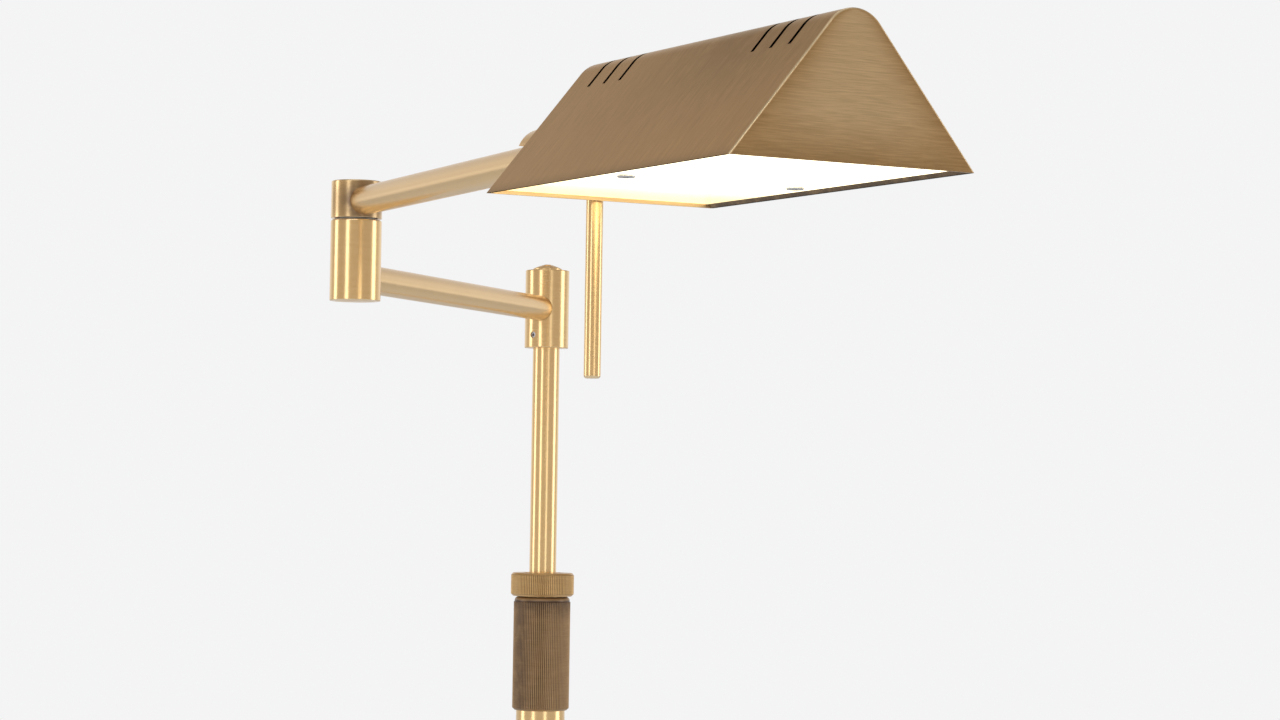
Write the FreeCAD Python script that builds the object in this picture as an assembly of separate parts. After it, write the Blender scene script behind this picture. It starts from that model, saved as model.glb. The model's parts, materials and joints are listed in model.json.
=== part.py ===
import FreeCAD, Part
import math
import os

from FreeCAD import Vector

# Bridge floor lamp: a weighted round base, a telescoping pole, two swing arms and a tent shade.
# Millimetres, +Z up. The origin is on the pole's axis at the underside of the base pad.
# Every length below is a real size at the rest pose.

# ---------------------------------------------------------------- heights, reaches and angles
arm_height = 1002.0  # axis of the inner arm above the floor
arm_rise = 33.0  # axis of the outer arm above the inner arm's axis
inner_reach = 242.0  # pole axis to elbow axis
outer_reach = 260.3  # elbow axis to the shade's rear gable, by way of the knuckle
knuckle_setback = 36.0  # knuckle pivot to the shade's rear gable
inner_azimuth = 251.23  # direction of the inner arm, from +X about +Z, in degrees
outer_azimuth = -65.48  # direction of the outer arm
head_azimuth = -60.08  # direction of the shade's ridge

# ---------------------------------------------------------------- travel of the moving pieces
travel_up = 205.0  # how far the upper pole draws out from here
travel_down = 100.0  # how far the upper pole sinks from here

# ---------------------------------------------------------------- clearances
fit_gap = 0.05  # radial clearance of pressed, screwed and brazed joints
run_gap = 0.07  # radial clearance of turning and sliding fits
face_gap = 0.3  # axial clearance between pieces that turn against each other
past = 1.0  # how far a cut runs past the face that it opens

# ---------------------------------------------------------------- base
base_radius = 125.0
base_wall = 1.2
base_lift = 1.0  # lower edge of the cover above the floor
base_edge_radius = 6.0
pad_inset = 4.0  # edge of the pad inside the edge of the base
pad_thickness = 2.5
weight_height = 14.5
weight_side_gap = 0.5
cavity_radius = 17.0
cavity_depth = 9.5
channel_width = 9.6
stud_radius = 5.0
stud_bore = 3.25
stud_grip = 18.0  # thread held by the foot plug
base_nut_flats = 14.0
base_nut_height = 5.0
base_washer_radius = 13.0
base_washer_height = 2.0
collar_radius = 21.0
collar_top_radius = 15.5
collar_height = 12.0
collar_foot = 3.0
collar_hollow = 1.5  # depth of the collar's hollow curve
bushing_radius = 4.4
bushing_bore = 3.0
bushing_flange = 5.5
bushing_flange_height = 1.5
bushing_reach = 7.0  # how far the bushing runs inwards past the cover
bushing_height = 7.2  # axis of the cord inlet above the floor
nut_chamfer = 0.8
small_edge = 0.5  # rounding of small turned and cut edges

# ---------------------------------------------------------------- lower pole
pole_radius = 12.5
pole_wall = 1.2
foot_plug_height = 25.0
joint_height = 440.0  # where the two lower pole tubes meet
coupler_half = 20.0
coupler_bead = 1.5
coupler_bore = 6.0
stop_gap = 15.2  # left between the hub and the lock ring with the upper pole right down
ring_radius = 16.1
ring_height = 11.9
ring_band = 2.8  # smooth band above the lock ring's knurl
ring_edge = 0.8
grip_radius = 14.5
grip_height = 57.8
grip_shoulder = 2.4
grip_foot_chamfer = 0.8
knurl_pitch = 1.0
knurl_depth = 0.35
socket_depth = 32.0  # clamp socket inside the lower pole
socket_flange = 2.0
tube_drop = 4.0  # end of the lower pole below the grip's top
neck_radius = 10.0
collet_radius = 8.8
collet_height = 7.8
collet_head = 2.8  # height of the collet's head, on top of the neck
collet_slit = 1.5

# ---------------------------------------------------------------- upper pole and hub
mast_radius = 6.9
mast_wall = 1.0
glide_height = 14.0
glide_lip = 2.0
glide_lip_bore = 5.0
hub_radius = 11.25
hub_half = 20.0
hub_edge = 0.5
hub_shoulder = 7.5  # underside of the hub's bearing web below the arm axis
hub_web = 2.0
hub_chamber_radius = 5.9
hub_chamber_top = 12.0
spindle_radius = 4.0
spindle_bore = 2.6
spindle_plug = 18.0
spindle_flange = 1.4
spindle_window = 5.0
thrust_washer = 1.0
hub_nut_radius = 7.4
hub_nut_flange = 1.1
hub_nut_cone = 6.4
hub_nut_tip = 1.9
hub_nut_height = 3.0
hub_nut_flutes = 10
hub_nut_flute_radius = 0.9
set_screw_radius = 1.6
set_screw_drop = 13.5
set_screw_turn = -18.3  # from the inner arm's direction, in degrees
set_screw_sink = 0.6
set_screw_socket = 0.75

# ---------------------------------------------------------------- arms and elbow
arm_radius = 6.35
arm_wall = 1.0
arm_setback = 6.5  # end of an arm tube from the axis of the barrel that holds it
elbow_below = 10.6  # bottom of the elbow barrel below the inner arm's axis
elbow_joint = 25.5  # joint line of the elbow above the inner arm's axis
elbow_top = 42.3  # top of the elbow cap above the inner arm's axis
elbow_edge = 0.8
elbow_washer_height = 0.4
elbow_washer_radius = 9.4
elbow_web = 7.7
elbow_chamber_radius = 8.6
elbow_cover_height = 2.0
cap_chamber_radius = 5.9
cap_chamber_low = 3.5
cap_chamber_high = 5.8
pivot_nut_flats = 13.0
pivot_nut_height = 5.0
pivot_thread_end = 0.8
spring_washer = 1.0
spring_washer_radius = 7.0
lead_radius = 1.6
lead_end = 2.0  # how far a lead stays inside its tube's ends

# ---------------------------------------------------------------- knuckle
knuckle_rear = 10.7  # rear face behind the pivot
knuckle_edge = 1.2
tongue_half = 4.0  # half the tongue's thickness
tongue_width = 5.5  # half the tongue's width, and the radius of its end
tongue_bore = 2.0
tongue_plug = 14.0
tongue_shoulder = 15.0  # where the tongue meets the arm tube, behind the pivot
tongue_flange = 1.6
jaw_mouth = 8.0  # front end of the jaws' slot
knuckle_chamber_radius = 8.2
knuckle_web = 7.2
pivot_screw_radius = 1.6
pivot_screw_grip = 2.0
pivot_screw_head = 3.0
pivot_screw_head_height = 2.0
screw_slot = 0.8
screw_slot_depth = 0.7

# ---------------------------------------------------------------- tilting head
disc_thickness = 8.8
disc_edge = 0.4
rod_radius = 3.15
rod_setback = 4.8  # rod axis behind the rear gable
rod_length_below = 84.2  # bottom of the rod below the head's axis
rod_seat = 5.4  # top of the rod below the head's axis
rod_edge = 0.8
head_washer_radius = 8.4
head_washer_height = 1.0
head_nut_height = 4.0

# ---------------------------------------------------------------- shade
shade_length = 165.9
shade_width = 95.0
shade_slope = 50.4  # slope of the sides, in degrees
shade_drop = 19.3  # rim below the head's axis
ridge_radius = 12.5
shade_wall = 1.0
shade_edge = 0.8
slot_width = 2.0
slot_pitch = 11.3
slot_count = 3
slot_end = 16.2  # first slot from each gable
slot_floor = 39.1  # bottom of the slots above the rim

# ---------------------------------------------------------------- light source
diffuser_lift = 1.3
diffuser_thickness = 2.0
diffuser_gap = 0.4
tray_lift = 9.0
tray_thickness = 1.5
tray_gap = 0.2
tray_side_gap = 0.3
standoff_radius = 3.0
diffuser_screw_radius = 1.5
diffuser_screw_head = 3.2
diffuser_screw_head_height = 1.1
cross_half = 1.5  # half the length of a cross recess
diffuser_screw_side = 34.0  # from the middle of the shade
diffuser_screw_along = 78.0  # from the rear gable
board_length = 150.0
board_width = 56.0
board_thickness = 1.2
chip_size = 3.0
chip_height = 0.8
chip_columns = 12
chip_rows = 3
driver_length = 62.0
driver_width = 30.0
driver_height = 14.0
driver_along = 34.0  # from the rear gable
driver_edge = 1.5
core_radius = 1.0
core_spread = 1.05

# ---------------------------------------------------------------- derived places
weight_top = pad_thickness + weight_height
base_top = weight_top + base_wall
cavity_top = pad_thickness + cavity_depth
hub_bottom = arm_height - hub_half
ring_top = hub_bottom - travel_down - stop_gap
ring_bottom = ring_top - ring_height
grip_top = ring_bottom - face_gap
grip_bottom = grip_top - grip_height
tube_top = grip_top - tube_drop
socket_bottom = tube_top - socket_depth
neck_top = ring_top - collet_head - face_gap
hub_top = arm_height + hub_half
web_bottom = arm_height - hub_shoulder
spindle_seat = web_bottom - face_gap - thrust_washer
mast_top = spindle_seat - spindle_flange
glide_top = socket_bottom - face_gap - travel_up
glide_bottom = glide_top - glide_height
mast_bottom = glide_bottom + glide_lip
outer_height = arm_height + arm_rise
barrel_top = elbow_joint - face_gap
cap_bottom = elbow_joint + face_gap - arm_rise
cap_top = elbow_top - arm_rise
slope = math.radians(shade_slope)
wall_step = shade_wall / math.sin(slope)


def azimuth(degrees):
    """Unit vector in the floor plane."""
    return Vector(math.cos(math.radians(degrees)), math.sin(math.radians(degrees)), 0)


elbow_place = azimuth(inner_azimuth) * inner_reach
knuckle_place = elbow_place + azimuth(outer_azimuth) * (outer_reach - knuckle_setback)


# ---------------------------------------------------------------- shape helpers
def save(name, *solids):
    shape = solids[0] if len(solids) == 1 else Part.makeCompound(list(solids))
    shape.exportStep(os.path.join("parts", name + ".step"))


def place(shape, origin, degrees, height):
    """A copy turned about +Z and moved to an axis on the floor plan, at a height."""
    copy = shape.copy()
    copy.rotate(Vector(0, 0, 0), Vector(0, 0, 1), degrees)
    copy.translate(Vector(origin.x, origin.y, height))
    return copy


def rod_z(radius, low, high, x=0.0, y=0.0):
    return Part.makeCylinder(radius, high - low, Vector(x, y, low), Vector(0, 0, 1))


def rod_x(radius, start, end, y=0.0, z=0.0):
    return Part.makeCylinder(radius, end - start, Vector(start, y, z), Vector(1, 0, 0))


def ring_z(outer, inner, low, high):
    return rod_z(outer, low, high).cut(rod_z(inner, low - past, high + past))


def ring_x(outer, inner, start, end, y=0.0, z=0.0):
    return rod_x(outer, start, end, y, z).cut(rod_x(inner, start - past, end + past, y, z))


def block(x0, x1, y0, y1, z0, z1):
    return Part.makeBox(x1 - x0, y1 - y0, z1 - z0, Vector(x0, y0, z0))


def turned(*points):
    """Solid of revolution about Z from (radius, height) corners."""
    corners = [Vector(r, 0, z) for r, z in points]
    face = Part.Face(Part.makePolygon(corners + corners[:1]))
    return face.revolve(Vector(0, 0, 0), Vector(0, 0, 1), 360)


def hexagon_z(flats, low, high):
    """Hexagonal bar with its corners turned down at both ends."""
    corner = flats / math.sqrt(3)
    points = [azimuth(60 * i) * corner for i in range(6)]
    bar = Part.Face(Part.makePolygon(points + points[:1])).extrude(Vector(0, 0, high - low))
    bar.translate(Vector(0, 0, low))
    inset = corner - nut_chamfer
    body = turned(
        (0, low),
        (inset, low),
        (corner, low + nut_chamfer / 2),
        (corner, high - nut_chamfer / 2),
        (inset, high),
        (0, high),
    )
    return bar.common(body)


def edges_at(shape, test):
    """Circular edges whose centre and radius pass the test."""
    found = []
    for edge in shape.Edges:
        if isinstance(edge.Curve, Part.Circle) and test(edge.Curve.Center, edge.Curve.Radius):
            found.append(edge)
    return found


def near(a, b):
    return abs(a - b) < 1e-6


def knurled(radius, bore, low, high):
    """Sleeve with fine straight V-grooves along its outside."""
    count = round(2 * math.pi * radius / knurl_pitch)
    base = Vector(0, 0, low)
    points = []
    for i in range(2 * count):
        r = radius if i % 2 == 0 else radius - knurl_depth
        points.append(base + azimuth(180.0 * i / count) * r)
    outline = Part.makePolygon(points + points[:1])
    hole = Part.Wire(Part.makeCircle(bore, base))
    face = Part.makeFace([outline, hole], "Part::FaceMakerBullseye")
    return face.extrude(Vector(0, 0, high - low))


def below_knurl(radius):
    """Radius of the smooth stretches beside a knurl, just under its grooves."""
    return radius - knurl_depth - fit_gap


def along_x(shape):
    """Turn a shape built along +Z so that it runs along +X."""
    copy = shape.copy()
    copy.rotate(Vector(0, 0, 0), Vector(0, 1, 0), 90)
    return copy


# ---------------------------------------------------------------- base
def base_pad():
    pad = rod_z(base_radius - pad_inset, 0, pad_thickness)
    return pad.makeChamfer(small_edge, edges_at(pad, lambda c, r: near(c.z, 0)))


def base_weight():
    radius = base_radius - base_wall - weight_side_gap
    disc = rod_z(radius, pad_thickness, weight_top)
    disc = disc.makeFillet(base_edge_radius, edges_at(disc, lambda c, r: near(c.z, weight_top)))
    disc = disc.cut(rod_z(cavity_radius, pad_thickness - past, cavity_top))
    disc = disc.cut(rod_z(stud_radius + fit_gap, 0, base_top))
    half = channel_width / 2
    return disc.cut(block(-half, half, 0, base_radius, pad_thickness - past, cavity_top))


def base_cover():
    shell = rod_z(base_radius, base_lift, base_top)
    shell = shell.makeFillet(base_edge_radius, edges_at(shell, lambda c, r: near(c.z, base_top)))
    hollow = rod_z(base_radius - base_wall, base_lift - past, weight_top)
    inner_edge = base_edge_radius - base_wall
    hollow = hollow.makeFillet(inner_edge, edges_at(hollow, lambda c, r: near(c.z, weight_top)))
    shell = shell.cut(hollow)
    shell = shell.cut(rod_z(stud_radius + fit_gap, 0, base_top + past))
    inlet = Part.makeCylinder(
        bushing_radius + fit_gap, base_radius, Vector(0, base_radius / 2, bushing_height), Vector(0, 1, 0)
    )
    return shell.cut(inlet)


def cord_bushing():
    def post(radius, start, end):
        return Part.makeCylinder(radius, end - start, Vector(0, start, bushing_height), Vector(0, 1, 0))

    start = base_radius - bushing_reach
    end = base_radius + bushing_flange_height
    body = post(bushing_radius, start, base_radius)
    body = body.fuse(post(bushing_flange, base_radius, end))
    body = body.cut(post(bushing_bore, start - past, end + past))
    rim = edges_at(body, lambda c, r: near(c.y, end) and near(r, bushing_flange))
    return body.makeFillet(small_edge, rim)


def base_washer():
    return ring_z(base_washer_radius, stud_radius + fit_gap, cavity_top - base_washer_height, cavity_top)


def base_nut():
    high = cavity_top - base_washer_height
    bar = hexagon_z(base_nut_flats, high - base_nut_height, high)
    return bar.cut(rod_z(stud_radius + fit_gap, 0, base_top))


def pole_stud():
    low = cavity_top - base_washer_height - base_nut_height - pivot_thread_end
    return ring_z(stud_radius, stud_bore, low, base_top + stud_grip)


def foot_plug():
    radius = pole_radius - pole_wall - fit_gap
    return ring_z(radius, stud_radius + fit_gap, base_top, base_top + foot_plug_height)


def base_collar():
    """Ring round the foot of the pole: a short upright foot, then a hollow curve inwards."""
    bore = pole_radius + fit_gap
    foot = base_top + collar_foot
    top = base_top + collar_height
    start = Vector(collar_radius, 0, foot)
    end = Vector(collar_top_radius, 0, top)
    chord = end - start
    inwards = Vector(-chord.z, 0, chord.x).normalize()
    middle = (start + end) / 2 + inwards * collar_hollow
    corners = [
        end,
        Vector(bore, 0, top),
        Vector(bore, 0, base_top),
        Vector(collar_radius, 0, base_top),
        start,
    ]
    edges = [Part.makeLine(a, b) for a, b in zip(corners, corners[1:])]
    edges.append(Part.Arc(start, middle, end).toShape())
    return Part.Face(Part.Wire(edges)).revolve(Vector(0, 0, 0), Vector(0, 0, 1), 360)


# ---------------------------------------------------------------- lower pole and its clamp
def lower_pole():
    return ring_z(pole_radius, pole_radius - pole_wall, base_top, joint_height)


def middle_pole():
    return ring_z(pole_radius, pole_radius - pole_wall, joint_height + coupler_bead, tube_top)


def pole_coupler():
    radius = pole_radius - pole_wall - fit_gap
    bead_top = joint_height + coupler_bead
    body = rod_z(radius, joint_height - coupler_half, bead_top + coupler_half)
    body = body.fuse(rod_z(pole_radius, joint_height, bead_top))
    return body.cut(rod_z(coupler_bore, 0, arm_height))


def clamp_socket():
    """Turned socket in the top of the lower pole, with a threaded neck that holds the collet."""
    radius = pole_radius - pole_wall - fit_gap
    body = rod_z(radius, socket_bottom, tube_top)
    body = body.fuse(rod_z(pole_radius, tube_top, tube_top + socket_flange))
    body = body.fuse(rod_z(neck_radius, tube_top, neck_top))
    body = body.cut(rod_z(mast_radius + run_gap, socket_bottom - past, neck_top + past))
    return body.cut(rod_z(collet_radius + fit_gap, neck_top - collet_height, neck_top + past))


def collet():
    """Slit bush round the upper pole; its head rests on the neck, inside the lock ring."""
    low = neck_top - collet_height
    high = neck_top + collet_head
    body = rod_z(collet_radius, low, neck_top).fuse(rod_z(neck_radius, neck_top, high))
    body = body.cut(rod_z(mast_radius + run_gap, low - past, high + past))
    half = collet_slit / 2
    return body.cut(block(0, 2 * neck_radius, -half, half, low - past, high + past))


def grip_sleeve():
    """Knurled sleeve with a chamfered foot and a smooth rounded shoulder under the lock ring."""
    bore = pole_radius + fit_gap
    smooth = below_knurl(grip_radius)
    knurl_low = grip_bottom + grip_foot_chamfer
    knurl_high = grip_top - grip_shoulder
    foot = turned(
        (bore, grip_bottom),
        (smooth - grip_foot_chamfer, grip_bottom),
        (smooth, knurl_low),
        (bore, knurl_low),
    )
    bend = grip_shoulder * (1 - math.sqrt(0.5))
    middle = Vector(smooth - bend, 0, grip_top - bend)
    flange_top = tube_top + socket_flange + fit_gap
    neck = neck_radius + face_gap
    corners = [
        Vector(smooth - grip_shoulder, 0, grip_top),
        Vector(neck, 0, grip_top),
        Vector(neck, 0, flange_top),
        Vector(bore, 0, flange_top),
        Vector(bore, 0, knurl_high),
        Vector(smooth, 0, knurl_high),
    ]
    edges = [Part.makeLine(a, b) for a, b in zip(corners, corners[1:])]
    edges.append(Part.Arc(corners[-1], middle, corners[0]).toShape())
    shoulder = Part.Face(Part.Wire(edges)).revolve(Vector(0, 0, 0), Vector(0, 0, 1), 360)
    return knurled(grip_radius, bore, knurl_low, knurl_high).fuse([foot, shoulder])


def lock_ring():
    """Knurled clamp ring: it screws down over the neck, and squeezes the collet's head."""
    bore = neck_radius + run_gap
    smooth = below_knurl(ring_radius)
    knurl_low = ring_bottom + ring_edge
    knurl_high = ring_top - ring_band
    foot = turned(
        (bore, ring_bottom),
        (smooth - ring_edge, ring_bottom),
        (smooth, knurl_low),
        (bore, knurl_low),
    )
    band = turned(
        (bore, knurl_high),
        (smooth, knurl_high),
        (smooth, ring_top - ring_edge),
        (smooth - ring_edge, ring_top),
        (bore, ring_top),
    )
    return knurled(ring_radius, bore, knurl_low, knurl_high).fuse([foot, band])


# ---------------------------------------------------------------- upper pole
def upper_pole():
    return ring_z(mast_radius, mast_radius - mast_wall, mast_bottom, mast_top)


def pole_glide():
    """Nylon bush on the upper pole's lower end, sliding in the lower pole."""
    body = ring_z(pole_radius - pole_wall - run_gap, glide_lip_bore, glide_bottom, glide_top)
    return body.cut(rod_z(mast_radius + fit_gap, mast_bottom, glide_top + past))


def hub_spindle():
    """Hollow spindle plugged into the upper pole, with a window for the leads at the arm."""
    plug = mast_radius - mast_wall - fit_gap
    body = rod_z(plug, mast_top - spindle_plug, mast_top)
    body = body.fuse(rod_z(mast_radius, mast_top, spindle_seat))
    body = body.fuse(rod_z(spindle_radius, spindle_seat, hub_top + hub_nut_flange + face_gap))
    body = body.cut(rod_z(spindle_bore, mast_top - spindle_plug - past, hub_top - hub_web))
    half = spindle_window / 2
    window = block(0, 2 * spindle_radius, -half, half, arm_height - half, arm_height + half)
    window.rotate(Vector(0, 0, 0), Vector(0, 0, 1), inner_azimuth)
    return body.cut(window)


def hub_washer():
    return ring_z(mast_radius - fit_gap, spindle_radius + fit_gap, spindle_seat, spindle_seat + thrust_washer)


def hub_nut():
    """Fluted cone nut on the spindle's top."""
    low = hub_top + face_gap
    flange = low + hub_nut_flange
    top = hub_top + hub_nut_height
    body = turned(
        (0, low),
        (hub_nut_radius, low),
        (hub_nut_radius, low + hub_nut_flange / 2),
        (hub_nut_cone, flange),
        (hub_nut_tip, top),
        (0, top),
    )
    rise = top - flange
    run = hub_nut_cone - hub_nut_tip
    for i in range(hub_nut_flutes):
        outward = azimuth(360.0 * i / hub_nut_flutes)
        start = outward * hub_nut_tip + Vector(0, 0, top + hub_nut_flute_radius / 2)
        heading = outward * run + Vector(0, 0, -rise)
        body = body.cut(Part.makeCylinder(hub_nut_flute_radius, 2 * run, start, heading))
    return body.cut(rod_z(spindle_radius + fit_gap, 0, hub_top + hub_nut_flange + face_gap + fit_gap))


def mast_lead():
    side = mast_radius - mast_wall - lead_radius - run_gap
    return rod_z(lead_radius, mast_bottom + lead_end, mast_top - spindle_plug - lead_end, side, 0)


# ---------------------------------------------------------------- inner arm, built along +X from the hub
def hub_body():
    body = rod_z(hub_radius, -hub_half, hub_half)
    body = body.makeFillet(hub_edge, edges_at(body, lambda c, r: near(r, hub_radius)))
    body = body.cut(rod_z(mast_radius + run_gap, -hub_half - past, -hub_shoulder))
    body = body.cut(rod_z(spindle_radius + run_gap, -hub_half, hub_half + past))
    body = body.cut(rod_z(hub_chamber_radius, -hub_shoulder + hub_web, hub_chamber_top))
    body = body.cut(rod_x(arm_radius + fit_gap, arm_setback, 2 * hub_radius))
    body = body.cut(rod_x(arm_radius - arm_wall, 0, arm_setback + past))
    return body.cut(set_screw_shape(set_screw_radius + fit_gap, 2 * hub_radius))


def set_screw_shape(radius, reach):
    """Bar across the hub's wall on the set screw's axis."""
    outward = azimuth(set_screw_turn)
    start = outward * (mast_radius + face_gap) + Vector(0, 0, -set_screw_drop)
    return Part.makeCylinder(radius, reach - mast_radius - face_gap, start, outward)


def hub_set_screw():
    body = set_screw_shape(set_screw_radius, hub_radius - set_screw_sink)
    outward = azimuth(set_screw_turn)
    start = outward * (hub_radius - 2 * set_screw_sink - set_screw_socket) + Vector(0, 0, -set_screw_drop)
    return body.cut(Part.makeCylinder(set_screw_socket, hub_radius, start, outward))


def inner_arm_tube():
    return ring_x(arm_radius, arm_radius - arm_wall, arm_setback, inner_reach - arm_setback)


def elbow_barrel():
    body = rod_z(hub_radius, -elbow_below, barrel_top, inner_reach)
    body = body.makeFillet(elbow_edge, edges_at(body, lambda c, r: near(c.z, barrel_top)))
    web_low = barrel_top - elbow_web
    body = body.cut(rod_z(elbow_chamber_radius, -elbow_below - past, web_low, inner_reach))
    body = body.cut(rod_z(spindle_radius + run_gap, web_low - past, barrel_top + past, inner_reach))
    mouth = inner_reach - arm_setback
    body = body.cut(rod_x(arm_radius + fit_gap, inner_reach - 2 * hub_radius, mouth))
    return body.cut(rod_x(arm_radius - arm_wall, mouth - past, inner_reach))


def elbow_bottom_cover():
    low = -elbow_below
    return rod_z(elbow_chamber_radius - fit_gap, low, low + elbow_cover_height, inner_reach)


def elbow_washer():
    top = barrel_top + elbow_washer_height
    body = ring_z(elbow_washer_radius, spindle_radius + face_gap, barrel_top, top)
    body.translate(Vector(inner_reach, 0, 0))
    return body


def inner_arm_lead():
    low = -arm_radius + arm_wall + lead_radius + run_gap
    return rod_x(lead_radius, arm_setback + lead_end, inner_reach - arm_setback - lead_end, 0, low)


# ---------------------------------------------------------------- outer arm, built along +X from the elbow
def elbow_cap():
    body = rod_z(hub_radius, cap_bottom, cap_top)
    body = body.makeFillet(hub_edge, edges_at(body, lambda c, r: near(c.z, cap_top)))
    body = body.cut(rod_z(cap_chamber_radius, -cap_chamber_low, cap_chamber_high))
    body = body.cut(rod_z(spindle_radius + fit_gap, cap_bottom - past, 0))
    body = body.cut(rod_x(arm_radius + fit_gap, arm_setback, 2 * hub_radius))
    return body.cut(rod_x(arm_radius - arm_wall, 0, arm_setback + past))


pivot_face = barrel_top - elbow_web - arm_rise - face_gap  # underside of the elbow web, less its gap
pivot_nut_top = pivot_face - spring_washer


def elbow_pin():
    low = pivot_nut_top - pivot_nut_height - pivot_thread_end
    return ring_z(spindle_radius, spindle_bore, low, -cap_chamber_low)


def elbow_nut():
    bar = hexagon_z(pivot_nut_flats, pivot_nut_top - pivot_nut_height, pivot_nut_top)
    return bar.cut(rod_z(spindle_radius + fit_gap, -arm_rise, 0))


def elbow_spring_washer():
    return ring_z(spring_washer_radius, spindle_radius + fit_gap, pivot_nut_top, pivot_face)


outer_tube_end = outer_reach - knuckle_setback - tongue_shoulder - tongue_flange


def outer_arm_tube():
    return ring_x(arm_radius, arm_radius - arm_wall, arm_setback, outer_tube_end)


def arm_tongue():
    """Plug in the outer arm's end with a flat tongue that the knuckle's jaws hold."""
    pivot = outer_reach - knuckle_setback
    body = rod_x(arm_radius - arm_wall - fit_gap, outer_tube_end - tongue_plug, outer_tube_end)
    body = body.fuse(rod_x(arm_radius, outer_tube_end, pivot - tongue_shoulder))
    root = pivot - tongue_shoulder - past
    body = body.fuse(block(root, pivot, -tongue_width, tongue_width, -tongue_half, tongue_half))
    body = body.fuse(rod_z(tongue_width, -tongue_half, tongue_half, pivot))
    body = body.cut(rod_x(tongue_bore, outer_tube_end - tongue_plug - past, pivot + 2 * tongue_width))
    return body.cut(rod_z(pivot_screw_radius + run_gap, -tongue_half - past, tongue_half + past, pivot))


def outer_arm_lead():
    low = -arm_radius + arm_wall + lead_radius + run_gap
    return rod_x(lead_radius, arm_setback + lead_end, outer_tube_end - tongue_plug - lead_end, 0, low)


# ---------------------------------------------------------------- knuckle and head, along +X from the pivot
disc_rear = knuckle_setback - disc_thickness
knuckle_front = disc_rear - face_gap
knuckle_web_rear = knuckle_front - knuckle_web


def knuckle_barrel():
    body = rod_x(hub_radius, -knuckle_rear, knuckle_front)
    body = body.makeFillet(knuckle_edge, edges_at(body, lambda c, r: near(c.x, -knuckle_rear)))
    half = tongue_half + face_gap
    body = body.cut(block(-2 * knuckle_rear, jaw_mouth, -2 * hub_radius, 2 * hub_radius, -half, half))
    body = body.cut(rod_x(knuckle_chamber_radius, jaw_mouth, knuckle_web_rear))
    body = body.cut(rod_x(spindle_radius + run_gap, jaw_mouth, knuckle_front + past))
    body = body.cut(rod_z(pivot_screw_radius + fit_gap, -2 * hub_radius, 2 * hub_radius))
    seat = hub_radius - pivot_screw_head_height - screw_slot
    body = body.cut(rod_z(pivot_screw_head + fit_gap, seat, 2 * hub_radius))
    return body.cut(rod_z(pivot_screw_head + fit_gap, -2 * hub_radius, -seat))


def pivot_screw():
    seat = hub_radius - pivot_screw_head_height - screw_slot
    top = seat + pivot_screw_head_height
    body = rod_z(pivot_screw_radius, tongue_half - pivot_screw_grip, seat)
    body = body.fuse(rod_z(pivot_screw_head, seat, top))
    half = screw_slot / 2
    reach = 2 * pivot_screw_head
    return body.cut(block(-reach, reach, -half, half, top - screw_slot_depth, top + past))


def pivot_screws():
    upper = pivot_screw()
    lower = upper.copy()
    lower.rotate(Vector(0, 0, 0), Vector(1, 0, 0), 180)
    return upper, lower


def tilt_disc():
    """Disc on the rear gable that turns against the knuckle and carries the handle rod."""
    body = rod_x(hub_radius, disc_rear, knuckle_setback)
    body = body.makeChamfer(disc_edge, edges_at(body, lambda c, r: near(r, hub_radius)))
    body = body.cut(rod_x(spindle_radius + fit_gap, 0, 2 * knuckle_setback))
    return body.cut(rod_z(rod_radius + fit_gap, -2 * hub_radius, -rod_seat, knuckle_setback - rod_setback))


def handle_rod():
    low = -rod_length_below
    body = rod_z(rod_radius, low, -rod_seat, knuckle_setback - rod_setback)
    return body.makeFillet(rod_edge, edges_at(body, lambda c, r: near(c.z, low)))


tilt_washer_front = knuckle_web_rear - face_gap
tilt_nut_front = tilt_washer_front - spring_washer
gable_inside = knuckle_setback + shade_wall
head_washer_front = gable_inside + head_washer_height


def tilt_spindle():
    start = tilt_nut_front - pivot_nut_height - pivot_thread_end
    end = head_washer_front + head_nut_height + pivot_thread_end
    return ring_x(spindle_radius, spindle_bore, start, end)


def nut_along_x(start, end):
    bar = along_x(hexagon_z(pivot_nut_flats, start, end))
    return bar.cut(rod_x(spindle_radius + fit_gap, start - past, end + past))


def tilt_nut():
    return nut_along_x(tilt_nut_front - pivot_nut_height, tilt_nut_front)


def tilt_spring_washer():
    return ring_x(spring_washer_radius, spindle_radius + fit_gap, tilt_nut_front, tilt_washer_front)


def head_washer():
    return ring_x(head_washer_radius, spindle_radius + fit_gap, gable_inside, head_washer_front)


def head_nut():
    return nut_along_x(head_washer_front, head_washer_front + head_nut_height)


# ---------------------------------------------------------------- shade
def tent(start, end, inset, low):
    """Tent with a round ridge: the outline is moved inwards by inset and runs down to low."""
    radius = ridge_radius - inset
    half = shade_width / 2
    apex = half * math.tan(slope)
    centre = apex - ridge_radius / math.cos(slope)
    side = radius * math.sin(slope)
    lift = centre + radius * math.cos(slope)
    foot = half - inset / math.sin(slope) - low / math.tan(slope)
    base = -shade_drop
    left_foot = Vector(start, -foot, base + low)
    left_bend = Vector(start, -side, base + lift)
    crown = Vector(start, 0, base + centre + radius)
    right_bend = Vector(start, side, base + lift)
    right_foot = Vector(start, foot, base + low)
    edges = [
        Part.makeLine(left_foot, left_bend),
        Part.Arc(left_bend, crown, right_bend).toShape(),
        Part.makeLine(right_bend, right_foot),
        Part.makeLine(right_foot, left_foot),
    ]
    return Part.Face(Part.Wire(edges)).extrude(Vector(end - start, 0, 0))


def gable_edges(shape, start, end):
    """Edges of a tent between its sides and its gables, without the rim."""
    found = []
    for edge in shape.Edges:
        box = edge.BoundBox
        flat = near(box.XMin, box.XMax) and (near(box.XMin, start) or near(box.XMin, end))
        if flat and not near(box.ZMin, box.ZMax):
            found.append(edge)
    return found


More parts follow.
